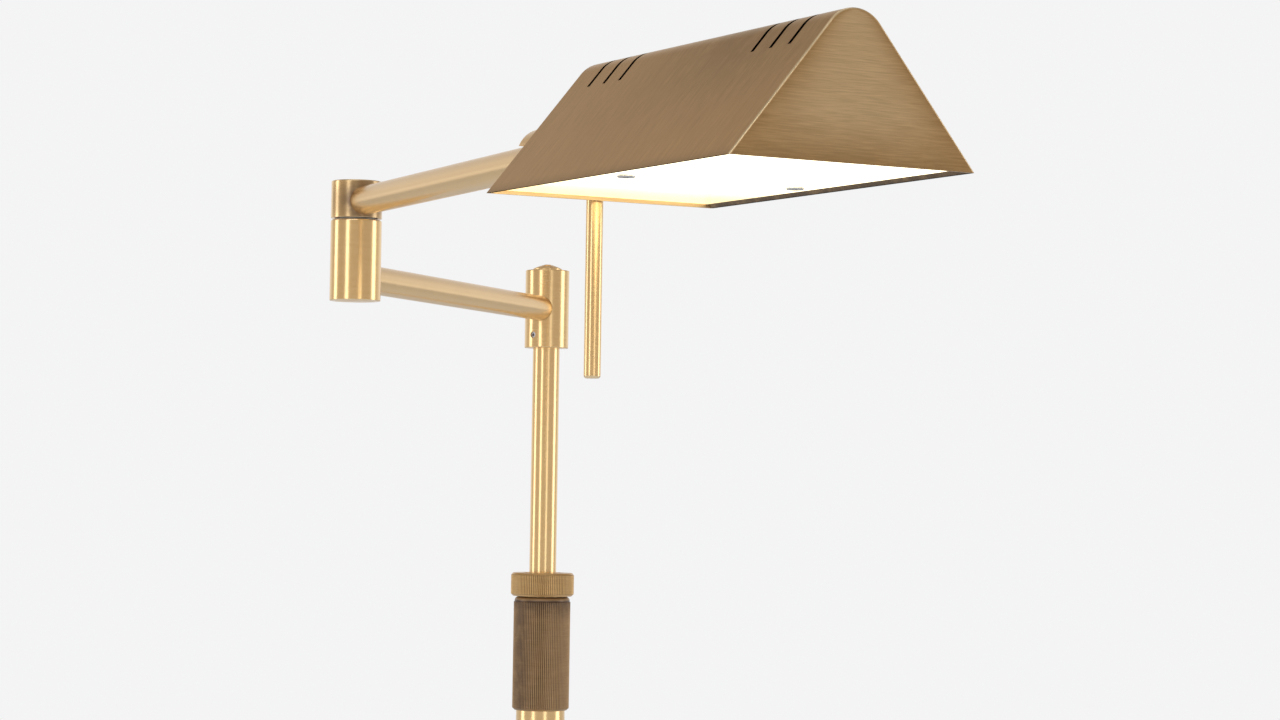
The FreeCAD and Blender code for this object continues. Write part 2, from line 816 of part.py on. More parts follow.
def shade():
    """Folded and brazed sheet: rounded outer edges, open below, vent slots over the ridge."""
    start = knuckle_setback
    end = start + shade_length
    outer = tent(start, end, 0, 0)
    outer = outer.makeFillet(shade_edge, gable_edges(outer, start, end))
    inner = tent(start + shade_wall, end - shade_wall, shade_wall, -shade_wall)
    body = outer.cut(inner)
    floor = slot_floor - shade_drop
    for i in range(slot_count):
        offset = slot_end + i * slot_pitch
        for x in (start + offset, end - offset):
            half = slot_width / 2
            body = body.cut(block(x - half, x + half, -shade_width, shade_width, floor, shade_width))
    return body.cut(rod_x(spindle_radius + fit_gap, 0, start + ridge_radius))


def inside_half(lift):
    """Half the width inside the shade at a height above its rim."""
    return shade_width / 2 - wall_step - lift / math.tan(slope)


def screw_places():
    x = knuckle_setback + diffuser_screw_along
    return [(x, -diffuser_screw_side), (x, diffuser_screw_side)]


def diffuser():
    """Acrylic plate with bevelled long edges, just inside the rim."""
    start = gable_inside + diffuser_gap
    length = shade_length - 2 * (shade_wall + diffuser_gap)
    low = diffuser_lift - shade_drop
    high = low + diffuser_thickness
    wide = inside_half(diffuser_lift) - diffuser_gap
    narrow = inside_half(diffuser_lift + diffuser_thickness) - diffuser_gap
    points = [
        Vector(start, -wide, low),
        Vector(start, wide, low),
        Vector(start, narrow, high),
        Vector(start, -narrow, high),
    ]
    plate = Part.Face(Part.makePolygon(points + points[:1])).extrude(Vector(length, 0, 0))
    for x, y in screw_places():
        plate = plate.cut(rod_z(diffuser_screw_radius + fit_gap, low - past, high + past, x, y))
    return plate


def heat_tray():
    """Aluminium tray that carries the light board; its ends turn down behind the diffuser."""
    start = gable_inside + tray_gap
    end = knuckle_setback + shade_length - shade_wall - tray_gap
    low = tray_lift - shade_drop
    high = low + tray_thickness
    half = inside_half(tray_lift + tray_thickness) - tray_side_gap
    body = block(start, end, -half, half, low, high)
    hem = diffuser_lift + diffuser_thickness + tray_gap - shade_drop
    for x in (start, end - tray_thickness):
        body = body.fuse(block(x, x + tray_thickness, -half, half, hem, low))
    for x, y in screw_places():
        body = body.cut(rod_z(diffuser_screw_radius + fit_gap, low - past, high + past, x, y))
    return body


def standoffs():
    low = diffuser_lift + diffuser_thickness - shade_drop
    high = tray_lift - shade_drop
    posts = []
    for x, y in screw_places():
        post = rod_z(standoff_radius, low, high, x, y)
        posts.append(post.cut(rod_z(diffuser_screw_radius + fit_gap, low - past, high + past, x, y)))
    return posts


def diffuser_screws():
    under = diffuser_lift - shade_drop
    top = tray_lift + tray_thickness - shade_drop
    screws = []
    for x, y in screw_places():
        low = under - diffuser_screw_head_height
        head = rod_z(diffuser_screw_head, low, under, x, y)
        head = head.makeFillet(small_edge, edges_at(head, lambda c, r: near(c.z, low)))
        body = head.fuse(rod_z(diffuser_screw_radius, under, top, x, y))
        half = screw_slot / 2
        deep = low + screw_slot_depth
        for along, across in ((half, cross_half), (cross_half, half)):
            body = body.cut(block(x - along, x + along, y - across, y + across, low - past, deep))
        screws.append(body)
    return screws


board_middle = knuckle_setback + shade_length / 2


def light_board():
    high = tray_lift - shade_drop
    half = board_length / 2
    side = board_width / 2
    return block(board_middle - half, board_middle + half, -side, side, high - board_thickness, high)


def light_chips():
    high = tray_lift - board_thickness - shade_drop
    chips = []
    for i in range(chip_columns):
        x = board_middle + board_length * ((i + 0.5) / chip_columns - 0.5)
        for j in range(chip_rows):
            y = board_width * ((j + 0.5) / chip_rows - 0.5)
            half = chip_size / 2
            chips.append(block(x - half, x + half, y - half, y + half, high - chip_height, high))
    return chips


def driver_case():
    low = tray_lift + tray_thickness - shade_drop
    start = knuckle_setback + driver_along
    half = driver_width / 2
    body = block(start, start + driver_length, -half, half, low, low + driver_height)
    return body.makeFillet(driver_edge, [e for e in body.Edges if not near(e.BoundBox.ZMax, low)])


def head_leads():
    """Two cores from the tilt spindle's bore to the driver's end."""
    start = tilt_nut_front - pivot_nut_height
    end = knuckle_setback + driver_along
    return [rod_x(core_radius, start, end, side * core_spread, 0) for side in (-1, 1)]


# ---------------------------------------------------------------- assembly
def build():
    os.makedirs("parts", exist_ok=True)

    for make in (
        base_pad,
        base_weight,
        base_cover,
        cord_bushing,
        base_washer,
        base_nut,
        pole_stud,
        foot_plug,
        base_collar,
        lower_pole,
        middle_pole,
        pole_coupler,
        clamp_socket,
        collet,
        grip_sleeve,
        lock_ring,
        upper_pole,
        pole_glide,
        hub_spindle,
        hub_washer,
        hub_nut,
        mast_lead,
    ):
        save(make.__name__, make())

    for make in (
        hub_body,
        hub_set_screw,
        inner_arm_tube,
        inner_arm_lead,
        elbow_barrel,
        elbow_bottom_cover,
        elbow_washer,
    ):
        save(make.__name__, place(make(), Vector(0, 0, 0), inner_azimuth, arm_height))

    for make in (
        elbow_cap,
        elbow_pin,
        elbow_nut,
        elbow_spring_washer,
        outer_arm_tube,
        outer_arm_lead,
        arm_tongue,
    ):
        save(make.__name__, place(make(), elbow_place, outer_azimuth, outer_height))

    for make in (
        knuckle_barrel,
        tilt_disc,
        handle_rod,
        tilt_spindle,
        tilt_nut,
        tilt_spring_washer,
        head_washer,
        head_nut,
        shade,
        diffuser,
        heat_tray,
        light_board,
        driver_case,
    ):
        save(make.__name__, place(make(), knuckle_place, head_azimuth, outer_height))

    for make in (pivot_screws, standoffs, diffuser_screws, light_chips, head_leads):
        placed = [place(solid, knuckle_place, head_azimuth, outer_height) for solid in make()]
        save(make.__name__, *placed)


build()
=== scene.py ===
"""Looks of the bridge floor lamp: satin antique brass, a brushed tent shade and a lit opal panel.

Lengths are in metres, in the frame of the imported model. Each arm and the head has a frame of its own:
+X along the piece, +Z up. A surface is a grid of points with its normals, its place in the brushing
(grain) and its masks, all worked out as whole arrays.
"""

import json
import math

import bpy
import numpy as np
from mathutils import Matrix, Vector


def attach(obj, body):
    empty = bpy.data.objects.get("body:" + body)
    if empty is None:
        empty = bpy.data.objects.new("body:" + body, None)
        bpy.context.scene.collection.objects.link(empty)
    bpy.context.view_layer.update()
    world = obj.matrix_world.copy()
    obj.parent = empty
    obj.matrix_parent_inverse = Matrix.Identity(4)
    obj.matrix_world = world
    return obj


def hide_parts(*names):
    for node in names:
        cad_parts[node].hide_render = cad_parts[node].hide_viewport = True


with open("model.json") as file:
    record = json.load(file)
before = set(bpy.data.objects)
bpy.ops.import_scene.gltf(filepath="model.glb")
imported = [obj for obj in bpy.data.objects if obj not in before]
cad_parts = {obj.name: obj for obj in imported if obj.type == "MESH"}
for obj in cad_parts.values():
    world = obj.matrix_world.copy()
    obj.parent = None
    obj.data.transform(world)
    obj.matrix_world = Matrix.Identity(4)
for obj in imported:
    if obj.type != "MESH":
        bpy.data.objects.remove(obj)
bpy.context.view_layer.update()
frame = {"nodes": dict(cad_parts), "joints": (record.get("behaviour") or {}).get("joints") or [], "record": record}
cad = frame["nodes"]
joints = {j["name"]: j for j in frame["joints"]}
slot_of = {row["node"]: row["material_slot"] for row in frame["record"]["subparts"]}

MM = 0.001
WELD = 0.0001 * MM  # points closer than this are one
WELD_PHASE = 0.137  # shifts the welding cells, so that round values aren't on their borders
CREASE = 0.01  # an edge is sharp where its faces' normals differ by more than this

# ---- camera, from the photograph
CAMERA_PLACE = (0.04826, -1.60124, 0.91111)
CAMERA_PITCH = 2.346  # degrees above the horizon
CAMERA_ROLL = 0.874  # degrees
FOCAL_PIXELS = 3116.2
PHOTO_WIDTH = 1280
SENSOR = 36.0

# ---- edges and fine forms
ROUND = 96  # columns round a turned piece
TURNED_EDGE = 0.45 * MM
BARREL_TOP_EDGE = 0.9 * MM
CAP_EDGES = (0.25 * MM, 0.6 * MM)  # foot and top
COVER_GAP = 0.05 * MM  # between the elbow's bottom cover and the barrel's bore
ROD_EDGES = (1.1 * MM, 0.2 * MM)  # free tip, and the end in the disc
DISC_EDGES = (0.4 * MM, 0.2 * MM)
POLE_TUBES = (
    ("lower_pole", "stand", 1.2 * MM),  # node, body, wall
    ("middle_pole", "stand", 1.2 * MM),
    ("upper_pole", "mast", 1.0 * MM),
)
KNURL_PITCH = 1.0 * MM
KNURL_DEPTH = 0.35 * MM
KNURL_COLUMNS = 8  # columns of points for each ridge of the knurl
KNURL_FOOT = 0.8 * MM  # chamfer below the knurl
KNURL_EDGE = 0.1 * MM
GRIP_FOOT_EDGE = 0.2 * MM
GRIP_SHOULDER = 2.4 * MM  # smooth band over the grip's knurl
GRIP_TOP_ROUND = 2.0 * MM
GRIP_TOP_REACH = 3.0 * MM  # how far the grip's top runs inside the pole's radius
RING_BORE = 10.07 * MM
RING_FOOT_EDGE = 0.15 * MM
RING_BAND = 0.8 * MM  # smooth band over the ring's knurl
RING_RUNOUT = 1.2 * MM
RING_CHAMFER = (0.5 * MM, 0.3 * MM)  # width, and the radius of its edge
SMOOTH_ANGLE = math.radians(32)  # the small pieces are smooth where faces meet at less than this

# ---- shade
SHEET = 1.0 * MM
SHADE_EDGE = 0.8 * MM
RIDGE_RADIUS = 12.5 * MM
SHADE_SLOPE = math.radians(50.4)
SLOT_WIDTH = 2.0 * MM
SLOT_PITCH = 11.3 * MM
SLOT_COUNT = 3
SLOT_END = 16.2 * MM  # middle of the first slot from the gable
SLOT_FLOOR = 39.1 * MM  # foot of the slots above the rim
RIDGE_STEPS = 32
SLOPE_STEPS = 24
LENGTH_STEPS = 24
GABLE_STEPS = 32
EDGE_STEPS = 6
NEARLY_ONE = 0.999999  # keeps the rest of a unit normal above zero

# ---- wear, patina, painted highlights and painted shade, as shares of 1
HALO_REACH = 7 * MM  # dark halo on the elbow's cap round the arm: patina, and painted shade where the arm meets the cap
HALO_CURVE = 0.8
SHOULDER_DARK = 0.97  # the grip's smooth shoulder, and the knurl just under it
SHOULDER_UNDER = 0.55
SHOULDER_FADE = 9 * MM
SHOULDER_START = 0.2 * MM
STREAK_TURN, STREAK_WIDTH, STREAK_DARK = -0.85, 0.42, 0.42  # dark streak down the grip, in radians
RIM_DARK_HEIGHT = 4.0 * MM  # height of the dark line along the rim
RIM_DARK = 0.35
RIDGE_DARK = 0.08
CLOUD_DARK = 0.34
CLOUD_RISE = (0.85, 0.42)  # middle and width of the shade's dark cloud, up the slope
CLOUD_RUN = (0.72, 0.3)  # the same along the ridge
# painted highlight down the middle of the outer gables, and painted shade at their sides and foot
GABLE_PAINTED_HIGHLIGHT = 0.548
GABLE_SIDE_PAINTED_SHADE = 0.22
GABLE_FOOT_PAINTED_SHADE = 0.3
# the inner gables are painted brighter, as lit by the panel
INSIDE_PAINTED_LIGHT = 0.5
CUT_EDGE_DARK = 0.5

# ---- finishes
PANEL_GLOW = 3.0
# the panel's rear edge: its glow painted dim and yellow, a painted reflection of the rear gable's lit inside
PANEL_REAR_PAINTED_REFLECTION = (0.40, 0.30, 0.13)
PANEL_FULL_GLOW = (1.0, 0.87, 0.55)
GLOW_START = 8 * MM  # from the panel's rear edge
GLOW_FULL = 0.55  # share of the panel's length at which it is fully lit
CHIP_GLOW = 2.0
CLOUD_SHARE = 0.25  # how far the clouds darken the brass
PATINA_AND_SHADE_SHARE = 0.9  # how far the patina and the painted shade cover it
WORN_LINES = 0.78  # tone of the dark lines where it is worn bright, and where a highlight is painted
TONE_SPREAD = 0.2  # half the span of the brushing's tone that goes from dark to light
TUBE_RELIEF = 0.0003 * MM
SHEET_RELIEF = 0.001 * MM

# ---- room and lamps
FLOOR_TONE = 0.7
FLOOR_HALF = 9.0
BACKGROUND = (0.905, 0.905, 0.91)
ROOM_SOFT = (0.76, 0.76, 0.77)  # what matt surfaces are lit by
ROOM_DIM = (0.34, 0.22)  # grey level and warmth of what metal reflects
ROOM_WALL = (0.7, 0.06)
ROOM_TOP = (0.36, 0.07)
# height of a ray's direction, from nothing to full
WALL_FOOT = (-0.1, 0.0)
WALL_HEAD = (0.085, 0.045)
CEILING = (0.5, 0.9)
BEHIND_HEIGHT = (0.62, 0.2)
BEHIND_DEPTH = (0.35, 0.9)  # how far a ray's direction points away from the camera
LAMP_DISTANCE = 3.0
LAMP_TINT = (0.93, 0.97, 1.0)
# azimuth from the camera's side in degrees (left is negative), width, low and high edge, radiance
LAMPS = (
    (-90, 0.8, 0.3, 2.5, 2.0),
    (-32, 0.6, 0.3, 2.3, 1.9),
    (24, 0.6, 0.25, 1.12, 1.5),
    (92, 1.1, 0.3, 2.4, 1.9),
)
# name, place, the point it faces, width, height, radiance
HIGH_LAMPS = (
    ("soft_box_front", (-0.3, -2.7, 2.7), (0, -0.1, 1.0), 2.4, 0.55, 3.4),
    ("soft_box_top", (0, 0.4, 3.4), (0, 0, 1), 1.6, 1.6, 0.6),
)


# ---- frames and sizes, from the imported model
def local_frame(origin, heading):
    """4 x 4 matrix with +X along a level heading and +Z up, at an origin."""
    x, y = heading
    matrix = np.eye(4)
    matrix[:3, 0] = (x, y, 0)
    matrix[:3, 1] = (-y, x, 0)
    matrix[:3, 3] = origin
    return matrix


def joint_point(name):
    """Where a joint is at rest."""
    return np.array(joints[name]["pos_m"], float)


def level(vector):
    """Unit heading of a vector in the level plane."""
    flat = np.array(vector, float)[:2]
    return flat / np.hypot(*flat)


hub_point = joint_point("hub_swivel")
elbow_point = joint_point("elbow_swivel")
knuckle_point = joint_point("knuckle_swivel")
STAND = np.eye(4)
INNER = local_frame(hub_point, level(elbow_point - hub_point))
OUTER = local_frame(elbow_point, level(knuckle_point - elbow_point))
HEAD = local_frame(knuckle_point, level(joints["head_tilt"]["axis"]))


def extent(node, place=STAND):
    """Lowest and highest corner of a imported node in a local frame."""
    mesh = cad[node].data
    points = np.empty(len(mesh.vertices) * 3, np.float32)
    mesh.vertices.foreach_get("co", points)
    points = points.reshape(-1, 3).astype(float)
    turned = (points - place[:3, 3]) @ place[:3, :3]
    return turned.min(0), turned.max(0)


# ---- surfaces
def outline(corners, steps=6):
    """Points and outward normals of a profile of straight runs joined by arcs.

    Each corner is (a, r, radius): a along the axis, r from it. The arc at a corner touches both runs
    at radius * tan(turn / 2) from the corner, and its normals point from its centre. A radius of 0
    leaves a sharp corner: the point is given twice, once with each run's normal. The outside of the
    profile is on the left of its direction.
    """
    places, normals, rounds = [], [], []
    corner = [np.array(c[:2], float) for c in corners]
    for i, (_, _, radius) in enumerate(corners):
        here = corner[i]
        before = here - corner[i - 1] if i else None
        after = corner[i + 1] - here if i + 1 < len(corners) else None
        sides = [v / np.linalg.norm(v) for v in (before, after) if v is not None]
        lefts = [np.array([-v[1], v[0]]) for v in sides]
        if len(sides) == 1 or radius == 0:
            for left in lefts:
                places.append(here)
                normals.append(left)
                rounds.append(0.0)
            continue
        first, last = sides
        turn = math.acos(np.clip(first @ last, -1, 1))
        inward = 1 if first[0] * last[1] - first[1] * last[0] > 0 else -1
        reach = radius * math.tan(turn / 2)
        start = here - first * reach
        centre = start + lefts[0] * radius * inward
        for k in range(steps + 1):
            mix = k / steps
            bend = (1 - mix) * -lefts[0] * inward + mix * -lefts[1] * inward
            bend = bend / np.linalg.norm(bend)
            places.append(centre + bend * radius)
            normals.append(-bend * inward)
            rounds.append(math.sin(math.pi * mix) * -inward)
    return np.array(places), np.array(normals), np.array(rounds)


class Skin:
    """Patches of one piece, welded where they meet. Each patch is a grid of points."""

    def __init__(self):
        self.points, self.normals, self.grain, self.brush = [], [], [], []
        self.masks, self.faces = [], []
        self.count = 0

    def patch(self, points, normals, grain, brush, wear_and_highlight=0.0, patina_and_shade=0.0, keep=None, flip=False):
        """Adds a grid of shape (rows, columns, 3). keep leaves out cells, flip turns the faces over.

        grain and brush are the place in the brushing, first across the lines and then along them.
        """
        rows, columns = points.shape[:2]
        index = np.arange(rows * columns).reshape(rows, columns) + self.count
        cells = np.stack([index[:-1, :-1], index[1:, :-1], index[1:, 1:], index[:-1, 1:]], -1)
        if keep is not None:
            cells = cells[keep]
        cells = cells.reshape(-1, 4)
        if flip:
            cells = cells[:, ::-1]
        shape = (rows, columns)
        mask = np.stack([np.broadcast_to(wear_and_highlight, shape), np.broadcast_to(patina_and_shade, shape)], -1)
        self.points.append(points.reshape(-1, 3))
        self.normals.append(np.broadcast_to(normals, points.shape).reshape(-1, 3))
        self.grain.append(np.broadcast_to(grain, points.shape).reshape(-1, 3))
        self.brush.append(np.broadcast_to(brush, shape + (2,)).reshape(-1, 2))
        self.masks.append(mask.reshape(-1, 2))
        self.faces.append(cells)
        self.count += rows * columns

    def build(self, name, place=STAND):
        """Mesh object: equal points are joined, and each corner keeps its own normal, grain and masks."""
        parts = self.points, self.normals, self.grain, self.brush, self.masks, self.faces
        points, normals, grain, brush, masks, faces = (np.concatenate(part) for part in parts)
        key = np.round(points / WELD + WELD_PHASE).astype(np.int64)
        _, first, joined = np.unique(key, axis=0, return_index=True, return_inverse=True)
        joined = joined.reshape(-1)
        welded = joined[faces]
        keep = welded != np.roll(welded, 1, axis=1)
        sizes = keep.sum(1)
        good = sizes >= 3
        keep = keep & good[:, None]
        corners = welded[keep]
        source = faces[keep]
        sizes = sizes[good]
        world = points[first] @ place[:3, :3].T + place[:3, 3]
        turned = normals @ place[:3, :3].T

        mesh = bpy.data.meshes.new(name)
        mesh.vertices.add(len(world))
        mesh.vertices.foreach_set("co", world.astype(np.float32).ravel())
        mesh.loops.add(len(corners))
        mesh.loops.foreach_set("vertex_index", corners.astype(np.int32))
        mesh.polygons.add(len(sizes))
        starts = np.concatenate([[0], np.cumsum(sizes)[:-1]])
        mesh.polygons.foreach_set("loop_start", starts.astype(np.int32))
        mesh.update(calc_edges=True)
        mesh.polygons.foreach_set("use_smooth", np.ones(len(sizes), bool))
        facing = (turned / np.linalg.norm(turned, axis=1, keepdims=True))[source]
        self.crease(mesh, facing, starts, sizes)
        mesh.normals_split_custom_set(facing.tolist())
        uv = mesh.uv_layers.new(name="brush")
        uv.data.foreach_set("uv", brush[source].astype(np.float32).ravel())
        layer = mesh.attributes.new("grain", "FLOAT_VECTOR", "CORNER")
        layer.data.foreach_set("vector", grain[source].astype(np.float32).ravel())
        # the masks: rubbed edges with painted highlights, and patina with painted shade
        for k, label in enumerate(("wear_and_highlight", "patina_and_shade")):
            layer = mesh.attributes.new(label, "FLOAT", "CORNER")
            layer.data.foreach_set("value", masks[source][:, k].astype(np.float32))
        mesh.validate()
        piece = bpy.data.objects.new(name, mesh)
        bpy.context.scene.collection.objects.link(piece)
        return piece

    @staticmethod
    def crease(mesh, facing, starts, sizes):
        """An edge is sharp where its two faces have other normals at its ends, or where it has one face."""
        count = len(facing)
        following = np.arange(count) + 1
        following[starts + sizes - 1] = starts
        edge = np.empty(count, np.int32)
        mesh.loops.foreach_get("edge_index", edge)
        order = np.argsort(edge, kind="stable")
        users = np.bincount(edge, minlength=len(mesh.edges))
        first = np.concatenate([[0], np.cumsum(users)[:-1]])
        paired = users == 2
        one = order[first[paired]]
        other = order[first[paired] + 1]
        apart = np.abs(facing[one] - facing[following[other]]).max(1)
        apart = np.maximum(apart, np.abs(facing[following[one]] - facing[other]).max(1))
        sharp = np.ones(len(mesh.edges), bool)
        sharp[paired] = apart > CREASE
        layer = mesh.attributes.new("sharp_edge", "BOOLEAN", "EDGE")
        layer.data.foreach_set("value", sharp)


def refined(profile, step):
    """The profile with straight runs cut into pieces of at most a step."""
    places, normals, rounds = profile
    parts = [[], [], []]
    for i in range(len(places) - 1):
        count = max(1, math.ceil(np.linalg.norm(places[i + 1] - places[i]) / step - 1e-6))
        mix = (np.arange(count) / count)[:, None]
        for values, part in zip((places, normals, rounds[:, None]), parts):
            part.append(values[i] * (1 - mix) + values[i + 1] * mix)
    for values, part in zip((places, normals, rounds[:, None]), parts):
        part.append(values[-1:])
    places, normals, rounds = (np.concatenate(part) for part in parts)
    return places, normals, rounds[:, 0]


UPRIGHT = (np.array((0, 0, 1.0)), np.array((1.0, 0, 0)), np.array((0, 1.0, 0)))
ALONG = (np.array((1.0, 0, 0)), np.array((0, 1.0, 0)), np.array((0, 0, 1.0)))
UP, DOWN = (0.0, 0.0, 1.0), (0.0, 0.0, -1.0)


def turned(corners, axes=UPRIGHT, centre=(0, 0, 0), step=2 * MM, columns=ROUND, wave=None, darkening=None):
    """Skin of a surface of revolution: point(s, t) = centre + a(s) * axis + r(s) * (cos t * u + sin t * v).

    The brushing runs round the piece, so grain is (path length s, y, z of the turned point). wave is
    (count, depth, low, high): from low to high the radius falls by depth * (1 - |cos(count * t / 2)|).
    darkening adds a darker share, from the points, to the mask of patina and painted shade.
    """
    axis, u, v = axes
    places, normals, rounds = refined(outline(corners), step)
    t = np.linspace(0, 2 * np.pi, columns + 1)
    out = np.cos(t)[:, None] * u + np.sin(t)[:, None] * v
    along = -np.sin(t)[:, None] * u + np.cos(t)[:, None] * v
    radius = places[:, 1:2] + 0 * t
    hollow = np.zeros_like(radius)
    slide = np.zeros_like(radius)
    if wave:
        count, depth, low, high = wave
        rise = np.clip(np.minimum(places[:, 0] - low, high - places[:, 0]) / depth, 0, 1)[:, None]
        phase = count * t / 2
        hollow = rise * (1 - np.abs(np.cos(phase)))
        slide = rise * depth * count / 2 * np.sin(phase) * np.sign(np.cos(phase))
        radius = radius - depth * hollow
    points = np.array(centre) + places[:, :1, None] * axis + radius[..., None] * out
    side = radius[..., None] * out + slide[..., None] * along
    side /= np.maximum(np.linalg.norm(side, axis=-1, keepdims=True), 1e-12)
    side = np.where(radius[..., None] > 1e-9, side, out)
    facing = normals[:, :1, None] * axis + normals[:, 1:2, None] * side
    path = np.concatenate([[0], np.cumsum(np.linalg.norm(np.diff(places, axis=0), axis=1))])
    length = path[:, None] + 0 * t
    grain = np.stack([length, radius * np.cos(t), radius * np.sin(t)], -1)
    brush = np.stack([length, t * places[:, 1].max() + 0 * length], -1)
    wear_and_highlight = np.maximum(rounds, 0)[:, None] * (1 - hollow)
    patina_and_shade = np.maximum(-rounds, 0)[:, None] + hollow
    if darkening is not None:
        patina_and_shade = np.clip(patina_and_shade + darkening(points), 0, 1)
    skin = Skin()
    skin.patch(points, facing, grain, brush, wear_and_highlight, patina_and_shade, flip=True)
    return skin


def stand_for(piece, body, node):
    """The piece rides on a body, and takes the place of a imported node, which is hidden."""
    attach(piece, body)
    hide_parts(node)


def dress(piece, body, node, material):
    """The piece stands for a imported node, with a material of its own."""
    stand_for(piece, body, node)
    piece.data.materials.append(material)


# ---- shader nodes
class Graph:
    """A node tree with short calls to add and join nodes."""

    def __init__(self, tree):
        self.tree = tree

    def add(self, kind, inputs=(), **settings):
        """A new node with its settings, and a value or a link on each named input."""
        node = self.tree.nodes.new(kind)
        for name, value in settings.items():
            setattr(node, name, value)
        for name, value in dict(inputs).items():
            self.put(node.inputs[name], value)
        return node

    def put(self, socket, value):
        """Links an output to the socket, or sets the socket's own value."""
        if isinstance(value, bpy.types.NodeSocket):
            self.tree.links.new(value, socket)
        else:
            socket.default_value = value

    def math(self, operation, a, b=0.0, clamp=False):
        return self.add("ShaderNodeMath", {0: a, 1: b}, operation=operation, use_clamp=clamp).outputs[0]

    def mix(self, factor, a, b):
        node = self.add("ShaderNodeMix", data_type="RGBA")
        for socket, value in ((node.inputs[0], factor), (node.inputs[6], a), (node.inputs[7], b)):
            self.put(socket, value)
        return node.outputs[2]

    def ramp(self, value, low, high, to_low=0.0, to_high=1.0):
        """Smooth step of a value: to_low up to low, to_high from high on."""
        inputs = {0: value, 1: low, 2: high, 3: to_low, 4: to_high}
        return self.add("ShaderNodeMapRange", inputs, interpolation_type="SMOOTHSTEP").outputs[0]

    def noise(self, vector, scale, detail=2.0, roughness=0.5):
        inputs = {"Vector": vector, "Scale": scale, "Detail": detail, "Roughness": roughness}
        return self.add("ShaderNodeTexNoise", inputs).outputs[0]

    def stretched(self, vector, across, along):
        """The vector scaled by one value across the brushing and another along it."""
        inputs = {0: vector, 1: (across, along, along)}
        return self.add("ShaderNodeVectorMath", inputs, operation="MULTIPLY").outputs[0]

    def attribute(self, name, output):
        return self.add("ShaderNodeAttribute", attribute_name=name).outputs[output]

    def object_place(self):
        return self.add("ShaderNodeTexCoord").outputs["Object"]


def shader_group(name, inputs, outputs, fill):
    """A node group built once: inputs are (name, kind, default), outputs are (name, kind)."""
    tree = bpy.data.node_groups.new(name, "ShaderNodeTree")
    for label, kind, default in inputs:
        socket = tree.interface.new_socket(label, in_out="INPUT", socket_type="NodeSocket" + kind)
        if default is not None:
            socket.default_value = default
    for label, kind in outputs:
        tree.interface.new_socket(label, in_out="OUTPUT", socket_type="NodeSocket" + kind)
    graph = Graph(tree)
    given = tree.nodes.new("NodeGroupInput").outputs
    result = tree.nodes.new("NodeGroupOutput").inputs
    for label, value in fill(graph, given).items():
        tree.links.new(value, result[label])
    return tree


def brushing(graph, given):
    """Fine lines: three noises, stretched along the brushing, from hairlines to broad bands."""
    hair = graph.noise(graph.stretched(given["Grain"], 5200.0, 130.0), 1.0, 2.0, 0.6)
    line = graph.noise(graph.stretched(given["Grain"], 1900.0, 75.0), 1.0, 2.0, 0.55)
    band = graph.noise(graph.stretched(given["Grain"], 500.0, 28.0), 1.0, 2.0, 0.5)
    fine = graph.math("ADD", graph.math("MULTIPLY", hair, 0.5), graph.math("MULTIPLY", line, 0.5))
    tone = graph.math("ADD", graph.math("MULTIPLY", fine, 0.85), graph.math("MULTIPLY", band, 0.15))
    return {"Lines": fine, "Tone": tone}


def aging_and_shade(graph, given):
    """Cloudy patina: soft blotches, darker where the mask of patina and painted shade is, broken up by a finer
    noise.
    """
    cloud = graph.noise(given["Place"], 22.0, 4.0, 0.6)
    spot = graph.noise(given["Place"], 160.0, 3.0, 0.6)
    broken = graph.math("MULTIPLY", given["Mask"], graph.ramp(spot, 0.25, 0.6, 0.7, 1.0))
    return {"Clouds": graph.ramp(cloud, 0.35, 0.7), "Dark": broken, "Spots": graph.ramp(spot, 0.62, 0.75)}


BRUSHING = shader_group(
    "brushing", [("Grain", "Vector", None)], [("Lines", "Float"), ("Tone", "Float")], brushing
)
AGING_AND_SHADE = shader_group(
    "aging_and_shade",
    [("Place", "Vector", None), ("Mask", "Float", 0.0)],
    [("Clouds", "Float"), ("Dark", "Float"), ("Spots", "Float")],
    aging_and_shade,
)


def new_material(name):
    """A material with its graph and its shader."""
    material = bpy.data.materials.new(name)
    material.use_nodes = True
    graph = Graph(material.node_tree)
    shader = material.node_tree.nodes["Principled BSDF"]
    return material, graph, shader


def lay(graph, shader, **values):
    """Puts values on the shader's sockets; an underscore in a name stands for a space."""
    for name, value in values.items():
        graph.put(shader.inputs[name.replace("_", " ")], value)


def grouped(graph, tree, inputs):
    """Outputs of a shared group with values on its inputs."""
    node = graph.add("ShaderNodeGroup", node_tree=tree)
    for name, value in inputs.items():
        graph.put(node.inputs[name], value)
    return node.outputs


def bump(graph, height, distance):
    """Normal of a relief with a height in metres."""
    inputs = {"Height": height, "Distance": distance}
    return graph.add("ShaderNodeBump", inputs).outputs["Normal"]


